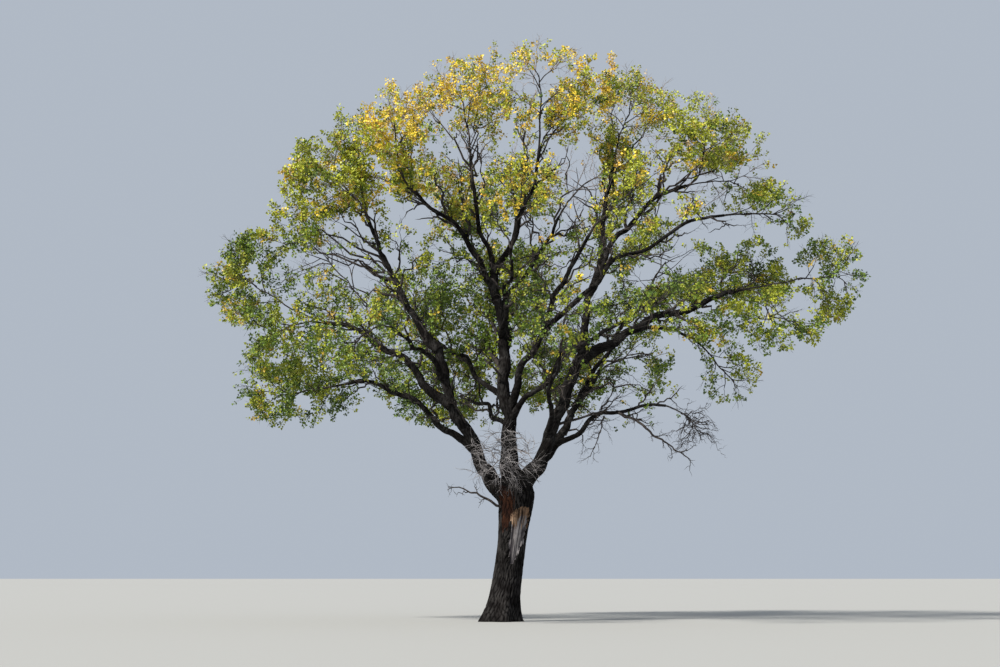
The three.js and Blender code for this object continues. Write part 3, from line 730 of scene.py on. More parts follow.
def furrows(angle, along, count, lean, seed):
    """How deep in a furrow each place is, from 0 to 1. Two families of slanting furrows
    cross and leave long lozenges of bark between them."""
    around = np.stack([np.cos(angle) * 1.3, np.sin(angle) * 1.3, along * 1.1], -1)
    waves = []
    for slant, own in ((lean, seed), (-lean, seed + 2)):
        drift = noise(around * 1.4, own) * 2.2 + noise(around * 4.0, own + 1) * 1.1
        waves.append(np.abs(np.sin(0.5 * (count * angle + slant * along) + drift)))
    return np.exp(-((np.minimum(*waves) / 0.34) ** 2))


def bark_mesh(name, vertices, sides, ends, grain, sunk, materials, replaced, kind=None):
    """A closed tube of bark from its rings and the middles of its ends, with its grain and how
    deep in a furrow each place is, which its material turns into painted shade. Kind gives each
    place's material."""
    last = len(vertices)
    triangles = np.concatenate(
        [
            ring_faces(last // sides, sides),
            cap_faces(0, sides, last, True),
            cap_faces(last - sides, sides, last + 1),
        ]
    )
    vertices = np.concatenate([vertices, ends])
    faces = None if kind is None else kind[triangles[:, 0]]
    made = add_mesh(name, vertices, triangles, materials, [replaced], faces=faces)
    grain = np.concatenate([grain, [[0, 0, 0], [0, 0, grain[-1, 2]]]])
    add_attribute(made, "grain", "FLOAT_VECTOR", grain)
    add_attribute(made, "sunk", "FLOAT", np.append(sunk, [0, 0]))


def angle_between(angle, other):
    return np.abs((angle - other + math.pi) % TAU - math.pi)


def scar_field(angle, z):
    """Above 0 where the bark is gone: a long scar on the trunk's front, a little to the right."""
    low, high, widest = SCAR
    share = np.clip((z - low) / (high - low), 0, 1)
    half = widest * np.minimum(1, share / 0.4) ** 0.7 * np.minimum(1, (1 - share) / 0.12) ** 0.5
    gap = angle_between(angle, mix(-1.45, -1.1, share))
    return np.where((z > low) & (z < high), half - gap, -1)


def rot_field(angle, z):
    """Above 0 in the rotten patch to the left of the scar's upper end."""
    toward, middle, size = ROT
    return size - np.hypot(angle_between(angle, toward), (z - middle) * 0.72)


def kinked(points, sizes, seed, wave=0.9, amount=1):
    """A line with crooks in it, up to the sizes given, and none at its ends."""
    steps = steps_along(points)
    hold = np.minimum(1, np.minimum(steps, steps[-1] - steps) / 0.5)
    place = np.stack([steps / wave, steps * 0, steps * 0], -1)
    shift = np.stack([noise(place + (0, 7.3 * k, 0.5), seed) for k in range(3)], -1)
    finer = np.stack([noise(place * 2.7 + (0, 9.1 * k, 0.5), seed + 1) for k in range(3)], -1)
    shift += 0.4 * finer
    return points + shift * (hold * amount * sizes)[:, None]


def limb_line(index, row):
    """A limb as it is dressed: its points and radii, with crooks and a flared root."""
    name, parent, share = row[:3]
    limb = limbs[name]
    length, root = limb.curve.length, limb.root
    from_trunk = parent == "trunk"
    parent_radius = 0.5 if from_trunk else float(limbs[parent].radius(share))
    begin = min(0.35 * parent_radius, 0.1 * length)
    step = float(np.clip(root * 0.3, 0.045, 0.075))
    marks = np.linspace(begin, length, round((length - begin) / step) + 1)
    past = np.maximum(0, marks - parent_radius * 1.15)
    flare = 0.55 * np.exp(-past / 1.1) if from_trunk else 0.5 * np.exp(-past / (2.4 * root))
    swell = noise(np.stack([marks / 0.8, marks * 0 + index, marks * 0], -1), 41)
    radii = limb.radius(marks / length) * (1 + flare) * (1 + 0.06 * swell)
    calm = CALM if name == "back_low_left_limb" else 1
    points = limb.curve.points(marks / length)
    points = kinked(points, CROOK + CROOK_BY_RADIUS * radii, 60 + index, amount=calm)
    if from_trunk:
        most = RIGHT_SPREAD if name == "right_limb" else SPREAD_OUT
        bulge = most * (marks / SPREAD_AT) * np.exp(1 - marks / SPREAD_AT)
        points = points + limb.curve.ways(marks / length) * (1, 1, 0) * bulge[:, None]
    return points, radii


limb_paths = {row[0]: limb_line(index, row) for index, row in enumerate(LIMBS)}


def fork_reach(angle, z):
    """How far the trunk's surface lies from its middle, with the limbs' roots grown into it."""
    reach = trunk_radius(angle, z) * (1 - NARROWS[0] * smooth(z, *NARROWS[1:]))
    toward, middle, swelling = COLLAR
    beside = np.maximum(0, np.cos(angle - toward)) ** 2
    reach += swelling * beside * np.exp(-(((z - middle) / 0.42) ** 2))
    roots = []
    for name in (row[0] for row in LIMBS if row[1] == "trunk"):
        points, radii = limb_paths[name]
        low = points[:, 2] < TRUNK["height"] + 0.9
        roots.append((points[low], radii[low]))
    far = np.linspace(1.9, 0.2, 52)
    at = np.arange(SIDES)
    for start in range(0, len(z), SIDES):
        ring, height = slice(start, start + SIDES), z[start]
        if height < FORK_FROM:
            continue
        out = np.stack([np.cos(angle[ring]), np.sin(angle[ring]), 0 * angle[ring]], -1)
        place = trunk_middle(height) + out[:, None] * far[None, :, None]
        sunk = float(smooth(height, *SINKS))
        soft = mix(*FILLET, sunk)
        total = np.exp(-(far[None] - reach[ring, None]) / soft)
        for points, radii in roots:
            gap = np.linalg.norm(place[:, :, None] - points, axis=-1) - radii
            total = total + np.exp(-gap.min(-1) / soft)
        first = np.maximum(1, np.argmax(total > 1, axis=1))
        a, b = np.log(total[at, first - 1]), np.log(total[at, first])
        grown = mix(far[first - 1], far[first], np.clip(a / (a - b), 0, 1)) - 0.05 * sunk
        joined = smooth(height, FORK_FROM, FORK_FROM + 0.5)
        joined *= 1 - smooth(height, SINKS[1], TRUNK["height"])
        reach[ring] = mix(reach[ring], grown, joined)
    return reach


def dress_trunk():
    """The trunk with its furrows, its long scar and the rotten patch beside that."""
    height = TRUNK["height"]
    rings = round(height / RING) + 1
    z = np.repeat(np.linspace(0, height, rings), SIDES)
    angle = np.tile(np.arange(SIDES) * TAU / SIDES, rings)
    across = np.stack([np.cos(angle), np.sin(angle), 0 * z], -1)
    place = across + UP * z[:, None]

    def rough(around, upward, seed):
        return noise(place * (around, around, upward), seed)

    count = round(TAU * TRUNK["waist"] / TRUNK_FURROW)
    sunk = furrows(angle, z, count, TAU / 0.55, 11)
    ragged = 0.18 * rough(7, 2.2, 31) + 0.14 * rough(22, 3, 32)
    scar = scar_field(angle, z) + ragged
    rot = rot_field(angle, z) + ragged
    gone = smooth(scar, -0.02, 0.05)
    lip = np.exp(-((scar + 0.06) / 0.06) ** 2)
    strands = rough(34, 1.6, 33)
    lumps = 0.035 * rough(1.3, 0.8, 21) + 0.012 * rough(5, 2.5, 22)
    reach = fork_reach(angle, z) * (1 + lumps) + 0.004 * rough(16, 7, 23)
    reach += RIDGE - FURROW_DEPTH * sunk * (1 - gone) * (1 - 0.5 * smooth(rot, 0, 0.1))
    reach += LIP * lip * (scar > -0.3) - SCAR_DEPTH * gone + STRAND * strands * gone
    reach -= ROT_DEPTH * smooth(rot, -0.02, 0.14) * (1 - gone) * (1 + 0.6 * rough(9, 5, 34))
    vertices = trunk_middle(z) + across * reach[:, None]
    # the scar's wood is darker where weathered, at its foot and in patches, and in the grooves
    # between its strands, where the darkening is painted shade
    weathered = 0.35 * smooth(2.9 - z, 0, 0.8) + 0.55 * smooth(rough(6, 1.6, 35), 0.15, 0.5)
    groove_shade_and_weathering = np.minimum(1, smooth(-strands, -0.1, 0.45) + weathered)
    # how far each place turns to the dark furrow colour: painted shade in the bark's furrows, and
    # in the scar the grooves' painted shade with the weathering
    furrow = sunk * (1 - gone) + gone * groove_shade_and_weathering
    materials = [SHADED_TRUNK_BARK, BARE_WOOD, ROTTEN_WOOD, BROWN_WOOD]
    bare = np.where(z + 2 * ragged > BROWN_ABOVE, 3, 1)
    kind = np.append(np.where(scar > 0, bare, np.where(rot > 0, 2, 0)), [0, 0])
    grain = across * 0.55 + UP * z[:, None]
    ends = trunk_middle([0, height])
    bark_mesh("trunk_bark", vertices, SIDES, ends, grain, furrow, materials, "trunk", kind)


def dress_limb(index, name):
    points, radii = limb_paths[name]
    root, usual, seed = limbs[name].root, float(np.median(radii)), 100 + 7 * index
    spacing, depth = max(LIMB_FURROW, 0.3 * root), LIMB_DEPTH * root
    rings, sides = len(points), int(np.clip(round(TAU * root / 0.038), 14, 44))
    angle = np.tile(np.arange(sides) * TAU / sides, rings)
    along, radius = np.repeat(steps_along(points), sides), np.repeat(radii, sides)
    # how deep in a furrow each place is, which the bark also turns into painted shade
    sunk = furrows(angle, along, max(6, round(TAU * usual / spacing)), TAU / (spacing * 5), seed)
    middle, first, second = [
        np.repeat(values, sides, axis=0) for values in (points, *frames_along(points))
    ]
    out = first * np.cos(angle)[:, None] + second * np.sin(angle)[:, None]
    lumps = noise(middle / 0.35 + out * 0.8, seed + 5) * 0.05
    lumps = lumps + 0.03 * noise(middle / 0.12, seed + 6)
    reach = radius * (1 + lumps) - depth * np.minimum(1, radius / usual) * sunk
    grain = np.stack([np.cos(angle) * radius, np.sin(angle) * radius, along], -1)
    vertices = middle + out * reach[:, None]
    ends = points[[0, -1]]
    bark_mesh(f"{name}_bark", vertices, sides, ends, grain, sunk, [SHADED_LIMB_BARK], name)


dress_trunk()
for index, name in enumerate(limb_paths):
    dress_limb(index, name)


# --- Twigs --------------------------------------------------------------------------------

AXIS = 7  # points on the line of a spray
BOUGH = 9  # points on the line of a side bough or a mass's twig
TWIG_END = 0.011  # radius at the tip of a side bough or a mass's twig
SPRAY_FLAT = 0.55  # how round the twigs of a solid's spray stand: 0 is all in one plane
FILL_ROOM = 0.98  # side of the cube of space that one finer twig fills
FILL_REACH = 0.88  # share of a mass's reach that they fill
FILL_HALF = 0.3  # how far the side twigs reach on those twigs, and on a side bough's
BOUGH_HALF = 0.22
SPREAD = np.array((0.8191725, 0.6710436, 0.5497005))  # steps that spread points evenly
SIDE_BOUGH_STEP = 0.72  # from one side bough, side twig or spur to the next
SIDE_TWIG_STEP = 0.125
SPUR_STEP = 0.11
OUTERMOST = 0.96  # share of a limb where its last side bough leaves
LAST_TWIG = 0.97  # share of a line where the one that runs on from its tip leaves
PALE_LIT_ABOVE = 15.6  # height above which twigs are pale: thin-barked, and painted light where the top of the crown catches the sun
SIDE_TWIG = 0.005  # radii of a side twig's root and of a spur
SPUR = 0.0022
# the smallest and the spread of lengths: side boughs, their forks as shares of them, side
# twigs as shares of their place, spurs, stalks
BOUGH_LONG, FORK_LONG, SIDE_TWIG_LONG = (1.2, 1.3), (0.4, 0.25), (0.75, 0.5)
SPUR_LONG, STALK_LONG = (0.08, 0.13), (0.02, 0.05)
# heights from which side boughs are denser, between which they turn upright, get thicker
# and come into leaf, and the heights and depths where their hue changes
DENSER_ABOVE, UPRIGHT, THICKER, IN_LEAF = 14.5, (12.5, 14.5), (13, 15), (6.8, 9.5)
LOW_HUE, HIGH_HUE, FRONT, BACK = 10.5, 13.5, -1.5, 2
LACY = (16.5, 18.5)  # heights between which the crown gets lacier
LEAVES = 6  # on each spur, and the length of a usual one
LEAF_LONG = 0.090
# the smallest and the spread of a leaf's size, width and fold
LEAF_SIZE, LEAF_WIDE, LEAF_FOLD = (0.78, 0.44), (0.92, 0.16), (0.06, 0.16)


def tubes(points, radii, sides):
    """Many thin tubes of one kind at once: points (n, k, 3), radii (n, k). Each ends in a
    point. Returns vertices and triangles."""
    n, k = radii.shape
    ways = unit(np.gradient(points, axis=1))
    helper = np.where(np.abs(ways[..., 2:3]) > 0.9, (1.0, 0, 0), (0, 0, 1.0))
    first = unit(np.cross(ways, helper))[:, :, None]
    second = np.cross(ways, first[:, :, 0])[:, :, None]
    turn = (np.arange(sides) * TAU / sides)[:, None]
    ring = first * np.cos(turn) + second * np.sin(turn)
    body = points[:, : k - 1, None] + ring[:, : k - 1] * radii[:, : k - 1, None, None]
    vertices = np.concatenate([body.reshape(n, -1, 3), points[:, -1:]], axis=1)
    cap = cap_faces((k - 2) * sides, sides, (k - 1) * sides)
    one = np.concatenate([ring_faces(k - 1, sides), cap])
    triangles = one[None] + (np.arange(n) * vertices.shape[1])[:, None, None]
    return vertices.reshape(-1, 3), triangles.reshape(-1, 3)


class Heap:
    """Small meshes of one kind, joined into pieces that stay under a number of triangles."""

    MOST = 190_000

    def __init__(self):
        self.parts, self.size = [], 0

    def add(self, vertices, triangles):
        self.parts.append((vertices, triangles + self.size))
        self.size += len(vertices)

    def line(self, points, root, end, sides):
        """One thin tube that tapers evenly along a line."""
        radii = mix(root, end, evenly(len(points)))
        self.add(*tubes(points[None], radii[None], sides))

    def make(self, name, material, slot, replaced, shade=True):
        vertices, triangles = [np.concatenate(column) for column in zip(*self.parts)]
        pieces = math.ceil(len(triangles) / self.MOST)
        for k, part in enumerate(np.array_split(triangles, pieces)):
            used, again = np.unique(part, return_inverse=True)
            label = name if pieces == 1 else f"{name}_{k + 1}"
            faces = again.reshape(-1, 3)
            add_mesh(label, vertices[used], faces, [material], replaced, shade)


def bowed(start, end, bow, count):
    """Lines from start to end that bow aside by a vector in the middle."""
    t = evenly(count)[:, None]
    line = start[..., None, :] + (end - start)[..., None, :] * t
    return line + bow[..., None, :] * (4 * t * (1 - t))


def jitter(seed, k, size):
    """A vector from -size to size on each axis for each seed."""
    return np.stack([draw(seed, k + i) * 2 - 1 for i in range(3)], -1) * size


def crooked(line, seed, amount):
    """A line with its inner points shifted by up to a share of its length."""
    size = np.linalg.norm(line[-1] - line[0])
    hold = np.sqrt(np.sin(evenly(len(line)) * math.pi))
    own = child_seed(seed, 900 + np.arange(len(line)))
    return line + jitter(own, 0, amount * size) * hold[:, None]


def leaving(start, way, end, lead, count):
    """A line that leaves start along a way and bends over to end."""
    size = np.linalg.norm(end - start)
    first = start + unit(way * lead + unit(end - start)) * 0.45 * size
    return arc(start, first, end, evenly(count))


def at_share(lines, which, share):
    """Points at shares along some of the lines (n, k, 3), and each line's way there."""
    last = lines.shape[1] - 1
    place = np.clip(share, 0, 1) * last
    low = np.minimum(place.astype(int), last - 1)
    part = (place - low)[:, None]
    a, b = lines[which, low], lines[which, low + 1]
    return a + (b - a) * part, unit(b - a)


def spot(line, share):
    """The point at a share along one line, and its way there."""
    points, ways = at_share(line[None], np.array([0]), np.array([share]))
    return points[0], ways[0]


def radius_at(radii, share):
    return float(np.interp(share, evenly(len(radii)), radii))


def round_about(ways, turn):
    """A direction across each way, at an angle round it."""
    helper = unit(np.cross(ways, UP) + 1e-6)
    turn = np.asarray(turn)[..., None]
    return helper * np.cos(turn) + np.cross(helper, ways) * np.sin(turn)


# x, z and half sizes of the places where the sky shows through the crown, as they lie at its
# middle depth, and how far each is open
OPENINGS = [
    (-10.3, 13.8, 0.6, 0.6, 0.85), (-9.3, 10.1, 0.4, 0.6, 0.75), (-9.1, 8.7, 0.5, 0.5, 0.6),
    (-8.8, 10.8, 0.4, 0.7, 0.3), (-8.3, 12, 0.35, 0.7, 0.5), (-8.4, 16.5, 0.4, 0.5, 0.7),
    (-6, 13.1, 1.9, 0.5, 0.85), (-5.8, 14.1, 0.9, 0.6, 0.85), (-5, 12.4, 0.7, 0.6, 0.85),
    (-4.9, 19.1, 0.8, 0.4, 0.5), (-3.7, 12.95, 0.6, 0.4, 0.8), (-2.9, 14.9, 1, 0.6, 0.95),
    (-2.4, 20.4, 0.6, 0.35, 0.7), (-2.3, 18.4, 0.5, 0.4, 0.7), (-2.4, 17.3, 0.9, 0.7, 0.7),
    (-2.2, 13.4, 0.4, 0.4, 0.7), (-1.2, 17.4, 0.6, 0.8, 0.9), (-1.6, 15.9, 1, 0.6, 0.4),
    (-0.7, 16.7, 0.4, 0.5, 0.7), (0.5, 17.5, 0.5, 0.5, 0.7), (1.1, 14.2, 0.65, 0.6, 0.9),
    (1.1, 19.8, 0.8, 0.55, 0.8), (1.5, 17.4, 1, 0.8, 0.3), (2.4, 12.85, 0.4, 0.4, 0.7),
    (2.35, 20.3, 0.35, 0.4, 0.8), (2.6, 14.6, 0.8, 0.5, 0.8), (2.8, 16.8, 0.9, 0.5, 0.85),
    (3, 15.8, 0.85, 1, 0.9), (3.5, 17.8, 0.5, 0.6, 0.6), (4.6, 18.6, 0.6, 0.6, 0.7),
    (4.6, 12, 0.4, 0.4, 0.5), (4.8, 9.6, 0.5, 0.5, 0.6), (4.9, 8.7, 0.6, 0.5, 0.7),
    (5.5, 12.6, 0.6, 0.5, 0.85), (5.7, 17.6, 0.9, 0.5, 0.8), (5.8, 9.9, 0.5, 0.5, 0.7),
    (5.9, 19.9, 0.6, 0.3, 0.6), (6.1, 16.2, 0.55, 0.6, 0.7), (6.2, 15, 0.8, 0.4, 0.7),
    (6.6, 13, 1, 0.45, 0.9), (6.7, 13.9, 0.7, 0.55, 0.85), (6.9, 8.9, 0.6, 1, 0.9),
    (7.3, 16, 0.9, 0.6, 0.9), (8, 18.9, 0.6, 0.4, 0.7), (8, 15.4, 0.8, 0.35, 0.85),
    (8.2, 14.2, 1.4, 0.5, 0.95), (8.5, 8.4, 0.9, 0.45, 0.7), (8.7, 10.8, 0.6, 0.4, 0.4),
    (9.4, 16.4, 0.65, 0.5, 0.9), (10.3, 14, 0.6, 0.4, 0.8), (9.2, 14.6, 0.9, 0.6, 0.8),
    (9.3, 9.7, 0.45, 0.4, 0.6), (9.4, 13.25, 0.6, 0.4, 0.5), (10.7, 11.3, 0.8, 0.5, 0.9),
    (11, 15.5, 0.6, 0.8, 0.8), (12.7, 12.2, 0.7, 0.5, 0.7),
]
CROWN_REACH = np.array((12.2, 9.4, 9.9))  # from the crown's middle to its skin
# limbs that show in front of the leaves
BOLD = [
    "left_limb", "centre_leader", "right_limb", "far_left_limb", "low_left_limb",
    "left_upper_limb", "centre_right_limb", "long_right_limb", "crown_left_limb",
    "top_left_limb", "top_limb", "right_upper_limb", "right_shoulder_limb", "right_long_limb",
]
bold_lines = [limb_paths[name] for name in BOLD]


def seen(points):
    """Where points show from the camera's place, as x and z at the tree's middle depth."""
    near = SIGHT / (SIGHT + points[..., 1])
    return points[..., 0] * near, EYE_HEIGHT + (points[..., 2] - EYE_HEIGHT) * near


def shut(points):
    """How far the crown is closed, from 0 to 1, as seen through each point."""
    x, z = seen(points)
    closed = np.ones(x.shape)
    for middle_x, middle_z, half_x, half_z, most in OPENINGS:
        far = ((x - middle_x) / half_x) ** 2 + ((z - middle_z) / half_z) ** 2
        closed = closed * (1 - most * np.exp(-(far**2)))
    return closed**1.6


def hides_limb(points):
    """Whether each point lies in front of a bold limb."""
    lines, wide = [np.concatenate(column) for column in zip(*bold_lines)]
    wide = wide + 0.06
    over, hidden = np.stack(seen(lines), -1), np.zeros(len(points), bool)
    for start in range(0, len(points), 4000):
        part = points[start : start + 4000]
        gap = np.abs(np.stack(seen(part), -1)[:, None] - over[None])
        close = (gap[..., 0] < wide) & (gap[..., 1] < wide)
        close &= part[:, None, 1] < lines[None, :, 1]
        hidden[start : start + 4000] = close.any(1)
    return hidden


boughs, twig_heap, pale_lit_heap, dead_heap, dark_heap, dead_boughs = [Heap() for _ in range(6)]
carriers = []


def carry(seed, line, normal, half, flat, leafage, hue, mass=-1):
    """A twig that carries side twigs: half is how far they reach from it at its root."""
    carriers.append((int(seed), line, normal, half, flat, leafage, hue, mass))


def fill(m, wood, ways, taken, room, full):
    """Finer twigs from a mass's wood to points spread evenly through its own space, each
    from the wood that lies nearest and points its way. Returns their seeds and lines."""
    count = math.ceil(np.prod(2 * m.reach) / room**3)
    first = np.array([draw(m.seed, 200 + k) for k in range(3)])
    steps = (first + np.arange(1, count + 1)[:, None] * SPREAD) % 1
    aims = m.centre + (2 * steps - 1) * m.reach * full
    aims = aims[m.holds(aims, full, 0.18 * room)]
    if taken:
        gaps = np.linalg.norm(aims[:, None] - np.concatenate(taken)[None], axis=-1).min(1)
        aims = aims[gaps > 0.35 * room]
    wood, ways = np.concatenate(wood), np.concatenate(ways)
    made = []
    while len(aims):
        to = aims[:, None] - wood[None]
        far = np.linalg.norm(to, axis=-1)
        facing = (to * ways[None]).sum(-1) / np.maximum(far, 1e-6)
        cost = far * (1.4 - 0.4 * facing) + 0.5 * (far < 0.12 * room)
        aim, root = np.unravel_index(np.argmin(cost), cost.shape)
        own = int(child_seed(m.seed, 400 + len(made)))
        start, end = wood[root], aims[aim]
        if far[aim, root] < 0.4 * room:
            end = start + unit(end - start) * 0.4 * room
        end = end + unit(end - start) * 0.12 * room
        line = crooked(leaving(start, ways[root], end, 0.7, AXIS), own, 0.055)
        made.append((own, line))
        wood = np.concatenate([wood, line[2:]])
        ways = np.concatenate([ways, ways_along(line)[2:]])
        aims = np.delete(aims, aim, axis=0)
    return made


def grow_mass(m):
    """A mass's stem, its twigs, the sprays of its solid, and finer twigs between them."""
    shares = evenly(15)
    stem = kinked(m.stem_sweep.points(shares), 0.08, 300 + m.index, wave=0.5)
    boughs.line(stem, m.stem_root, 0.020, 7)
    if m.limb in BOLD:
        bold_lines.append((stem[:10], mix(m.stem_root, 0.020, shares)[:10]))
    inside = m.holds(stem, 1.0, 0.0) & (shares > 0.2)
    wood, ways = [stem[inside]], [ways_along(stem)[inside]]
    others, taken = [], []
    for twig in twigs_of(m):
        # the twig starts on the stem's smooth sweep, where the solid's starts on its stretches
        start, seed = m.stem_sweep.point(twig["share"]), twig["seed"]
        size = np.linalg.norm(twig["end"] - start)
        lead = m.stem_sweep.way(twig["share"]) * 0.12 * size
        line = bowed(start, twig["end"], jitter(seed, 40, 0.07 * size) + lead, BOUGH)
        line = kinked(line, 0.04, 500 + seed % 1000, wave=0.3)
        boughs.line(line, TWIG_ROOT, TWIG_END, 5)
        wood.append(line[2:])
        ways.append(ways_along(line)[2:])
        for index, (share, _, _) in enumerate(SPRAYS):
            spray = place_spray(m, twig, index, others)
            if not spray:
                continue
            own, way, normal, size, width = spray
            root = spot(line, min(share, LAST_TWIG))[0]
            bow = jitter(own, 10, 0.06) * size + UP * 0.05 * size
            axis = crooked(bowed(root, root + way * size, bow, AXIS), own, 0.03)
            carry(own, axis, normal, width / 2, SPRAY_FLAT, m.leafage, m.hue, m.index)
            taken.append(axis[2:6])
    for own, line in fill(m, wood, ways, taken, FILL_ROOM, FILL_REACH):
        normal = unit(np.cross(line[-1] - line[0], UP))
        carry(own, line, normal, FILL_HALF, 1.0, m.leafage, m.hue, m.index)


def carry_twigs(line, seed, leafage, hue, step, shortest, longest):
    """Twigs along the outer part of a side bough, and one that runs on from its tip."""
    count = max(3, round(np.linalg.norm(line[-1] - line[0]) / step))
    for k in range(count):
        own = child_seed(seed, 10 + k)
        start, way = spot(line, 0.25 + 0.75 * (k + 0.7) / count)
        out = round_about(way, k * GOLDEN + draw(seed, 3) * TAU)
        heading = unit(way * 0.75 + out * (0.8 if k < count - 1 else 0.1) + UP * 0.15)
        end = start + heading * mix(shortest, longest, draw(own, 0))
        twig = crooked(leaving(start, way, end, 0.5, AXIS), own, 0.06)
        carry(own, twig, unit(np.cross(heading, UP)), BOUGH_HALF, 1.0, leafage, hue)


def crown_share(point):
    """How far out in the crown a point lies, from 0 in its middle to 1 at its skin."""
    return np.linalg.norm((point - CROWN_CENTRE) / CROWN_REACH, axis=-1)


def grow_side_boughs(index, row):
    """Crooked side boughs along the outer part of a limb, which fork again and carry twigs."""
    points, radii = limb_paths[row[0]]
    size = limbs[row[0]].curve.length
    first = 0.4 if row[1] == "trunk" else 0.28
    step = SIDE_BOUGH_STEP * (0.78 if points[-1][2] > DENSER_ABOVE else 1)
    count = max(2, round(size * (OUTERMOST - first) / step))
    for i in range(count):
        own = child_seed(7000 + index, i)
        share = first + (OUTERMOST - first) * (i + 0.5 + 0.5 * (draw(own, 0) - 0.5)) / count
        start, way = spot(points, share)
        height = start[2]
        out = round_about(way, i * GOLDEN + draw(7100 + index, 0) * TAU)
        outward = unit((start - CROWN_CENTRE) * (1, 1, 0.3))
        upright = smooth(height, *UPRIGHT) * smooth(way[2], 0.6, 0.85)
        spread = mix(0.85, 0.55, upright)
        heading = unit(way * mix(0.5, 1.0, upright) + out * spread + UP * 0.3 + outward * 0.3)
        long = vary(own, 1, *BOUGH_LONG) * mix(mix(1.2, 0.7, share), 1.35, upright)
        end = start + heading * long + UP * 0.12 * long
        while crown_share(end) > 0.93:
            end = mix(start, end, 0.85)
        line = crooked(leaving(start, unit(way + out), end, 0.5, BOUGH), own, 0.075)
        root = min(0.65 * radius_at(radii, share), 0.024 + 0.017 * long)
        root = root * (1 + 0.3 * smooth(height, *THICKER))
        boughs.line(line, root, TWIG_END, 5)
        deep = 1 - smooth(crown_share(end), 0.4, 0.75)
        leafage = 0.85 * smooth(height, *IN_LEAF) * (1 - 0.55 * deep)
        leafage *= 0.5 if start[1] < FRONT else 1
        # boughs low in the crown or at its back take the hues with the most painted shade
        hue = "low" if height < LOW_HUE else "high" if height > HIGH_HUE else "left"
        hue = "back" if start[1] > BACK else hue
        carry_twigs(line, own, leafage, hue, step=0.32, shortest=0.35, longest=0.75)
        for k in range(2 if long > 1.2 else 1):
            fork = child_seed(own, 30 + k)
            start, way = spot(line, 0.3 + 0.3 * k + 0.15 * draw(fork, 0))
            heading = unit(way * 0.7 + round_about(way, draw(fork, 1) * TAU) * 0.8 + UP * 0.2)
            far = long * vary(fork, 2, *FORK_LONG)
            branch = crooked(leaving(start, way, start + heading * far, 0.5, 7), fork, 0.075)
            boughs.line(branch, 0.6 * root, 0.009, 4)
            carry_twigs(branch, fork, leafage, hue, step=0.36, shortest=0.3, longest=0.6)


# limb, share of its length, tip, leafage and hue of a bough that grows between two masses
BETWEEN = [
    ("left_upper_limb", 0.62, (-7.9, 0.4, 14.4), 1, "shoulder"),
    ("left_upper_limb", 0.5, (-7.2, 1.3, 13.6), 0.8, "left"),
    ("left_upper_limb", 0.93, (-5.2, -0.6, 17.6), 0.8, "shoulder"),
    ("far_left_limb", 0.8, (-7.4, -0.6, 11.6), 0.8, "left"),
    ("low_left_limb", 0.7, (-4.7, 0.1, 9.2), 0.8, "left"),
    ("low_left_limb", 0.85, (-5.6, 0, 7.9), 0.7, "low"),
    ("back_left_limb", 0.45, (-1.8, 3, 10), 0.9, "back"),
    ("back_centre_limb", 0.5, (-0.5, 3.4, 10.5), 0.9, "back"),
    ("crown_left_limb", 0.85, (-4.9, -0.8, 16.2), 0.7, "top"),
    ("crown_left_limb", 0.95, (-3, -0.4, 19), 0.7, "top"),
    ("top_left_limb", 0.93, (0.2, 0.4, 19.6), 0.7, "top"),
    ("top_limb", 0.93, (3.1, -1, 19.3), 0.7, "top"),
    ("top_left_limb", 0.6, (0.3, 0.8, 16.2), 0.7, "top"),
    ("right_upper_limb", 0.93, (3, 1, 19), 0.7, "high"),
    ("right_shoulder_limb", 0.85, (8.9, 0.2, 17.8), 0.9, "shoulder"),
    ("right_hang_limb", 0.5, (7.3, 0.4, 9.8), 0.8, "low"),
    ("right_back_limb", 0.85, (5.6, 1.8, 8.4), 0.7, "low"),
    ("centre_leader", 0.5, (-1.5, 1.6, 10.9), 1, "back"),
    ("centre_leader", 0.6, (-1, 1.2, 12), 0.8, "back"),
    ("low_left_limb", 0.8, (-6.2, -0.6, 9.1), 1, "low"),
    ("low_left_limb", 0.9, (-6.4, 0.2, 8.6), 1, "low"),
    ("left_upper_limb", 0.56, (-8, 0.2, 14.9), 1, "shoulder"),
    ("left_upper_limb", 0.5, (-8.4, 0, 13.8), 1, "left"),
    ("left_upper_limb", 0.97, (-5.8, -0.3, 17.8), 0.9, "shoulder"),
    ("left_upper_limb", 0.36, (-5.8, -0.6, 11.9), 0.3, "left"),
    ("left_upper_limb", 0.55, (-6.6, -0.9, 13.2), 0.3, "left"),
    ("left_upper_limb", 0.68, (-6, -0.6, 14.4), 0.4, "left"),
    ("left_upper_limb", 0.48, (-2.6, -0.5, 13.4), 1, "left"),
    ("far_left_limb", 0.65, (-5.5, -1.2, 11.4), 0.9, "left"),
    ("centre_right_limb", 0.6, (3.4, -1.6, 12.2), 0.9, "high"),
    ("right_shoulder_limb", 0.9, (9.5, 0.8, 17.4), 1, "shoulder"),
    ("crown_left_limb", 0.97, (-4, -1.2, 18.8), 1, "top"),
    ("top_left_limb", 0.97, (-0.4, 0, 20.5), 1, "top"),
    ("top_limb", 0.96, (3.1, -0.6, 20), 1, "top"),
    ("right_upper_limb", 0.97, (4.2, 0.2, 20.1), 1, "top"),
    ("right_upper_limb", 0.92, (6.3, 0.5, 19.1), 1, "high"),
    ("right_long_limb", 0.6, (7.3, -0.6, 10.3), 0.9, "right"),
    ("back_low_left_limb", 0.9, (-0.6, 8.6, 11.2), 1, "back"),
    ("back_centre_limb", 0.9, (1.8, 8.2, 11.6), 1, "back"),
    ("back_right_limb", 0.85, (3.9, 6.6, 12.3), 1, "back"),
    ("back_right_limb", 0.7, (6, 5.4, 11), 0.9, "back"),
]


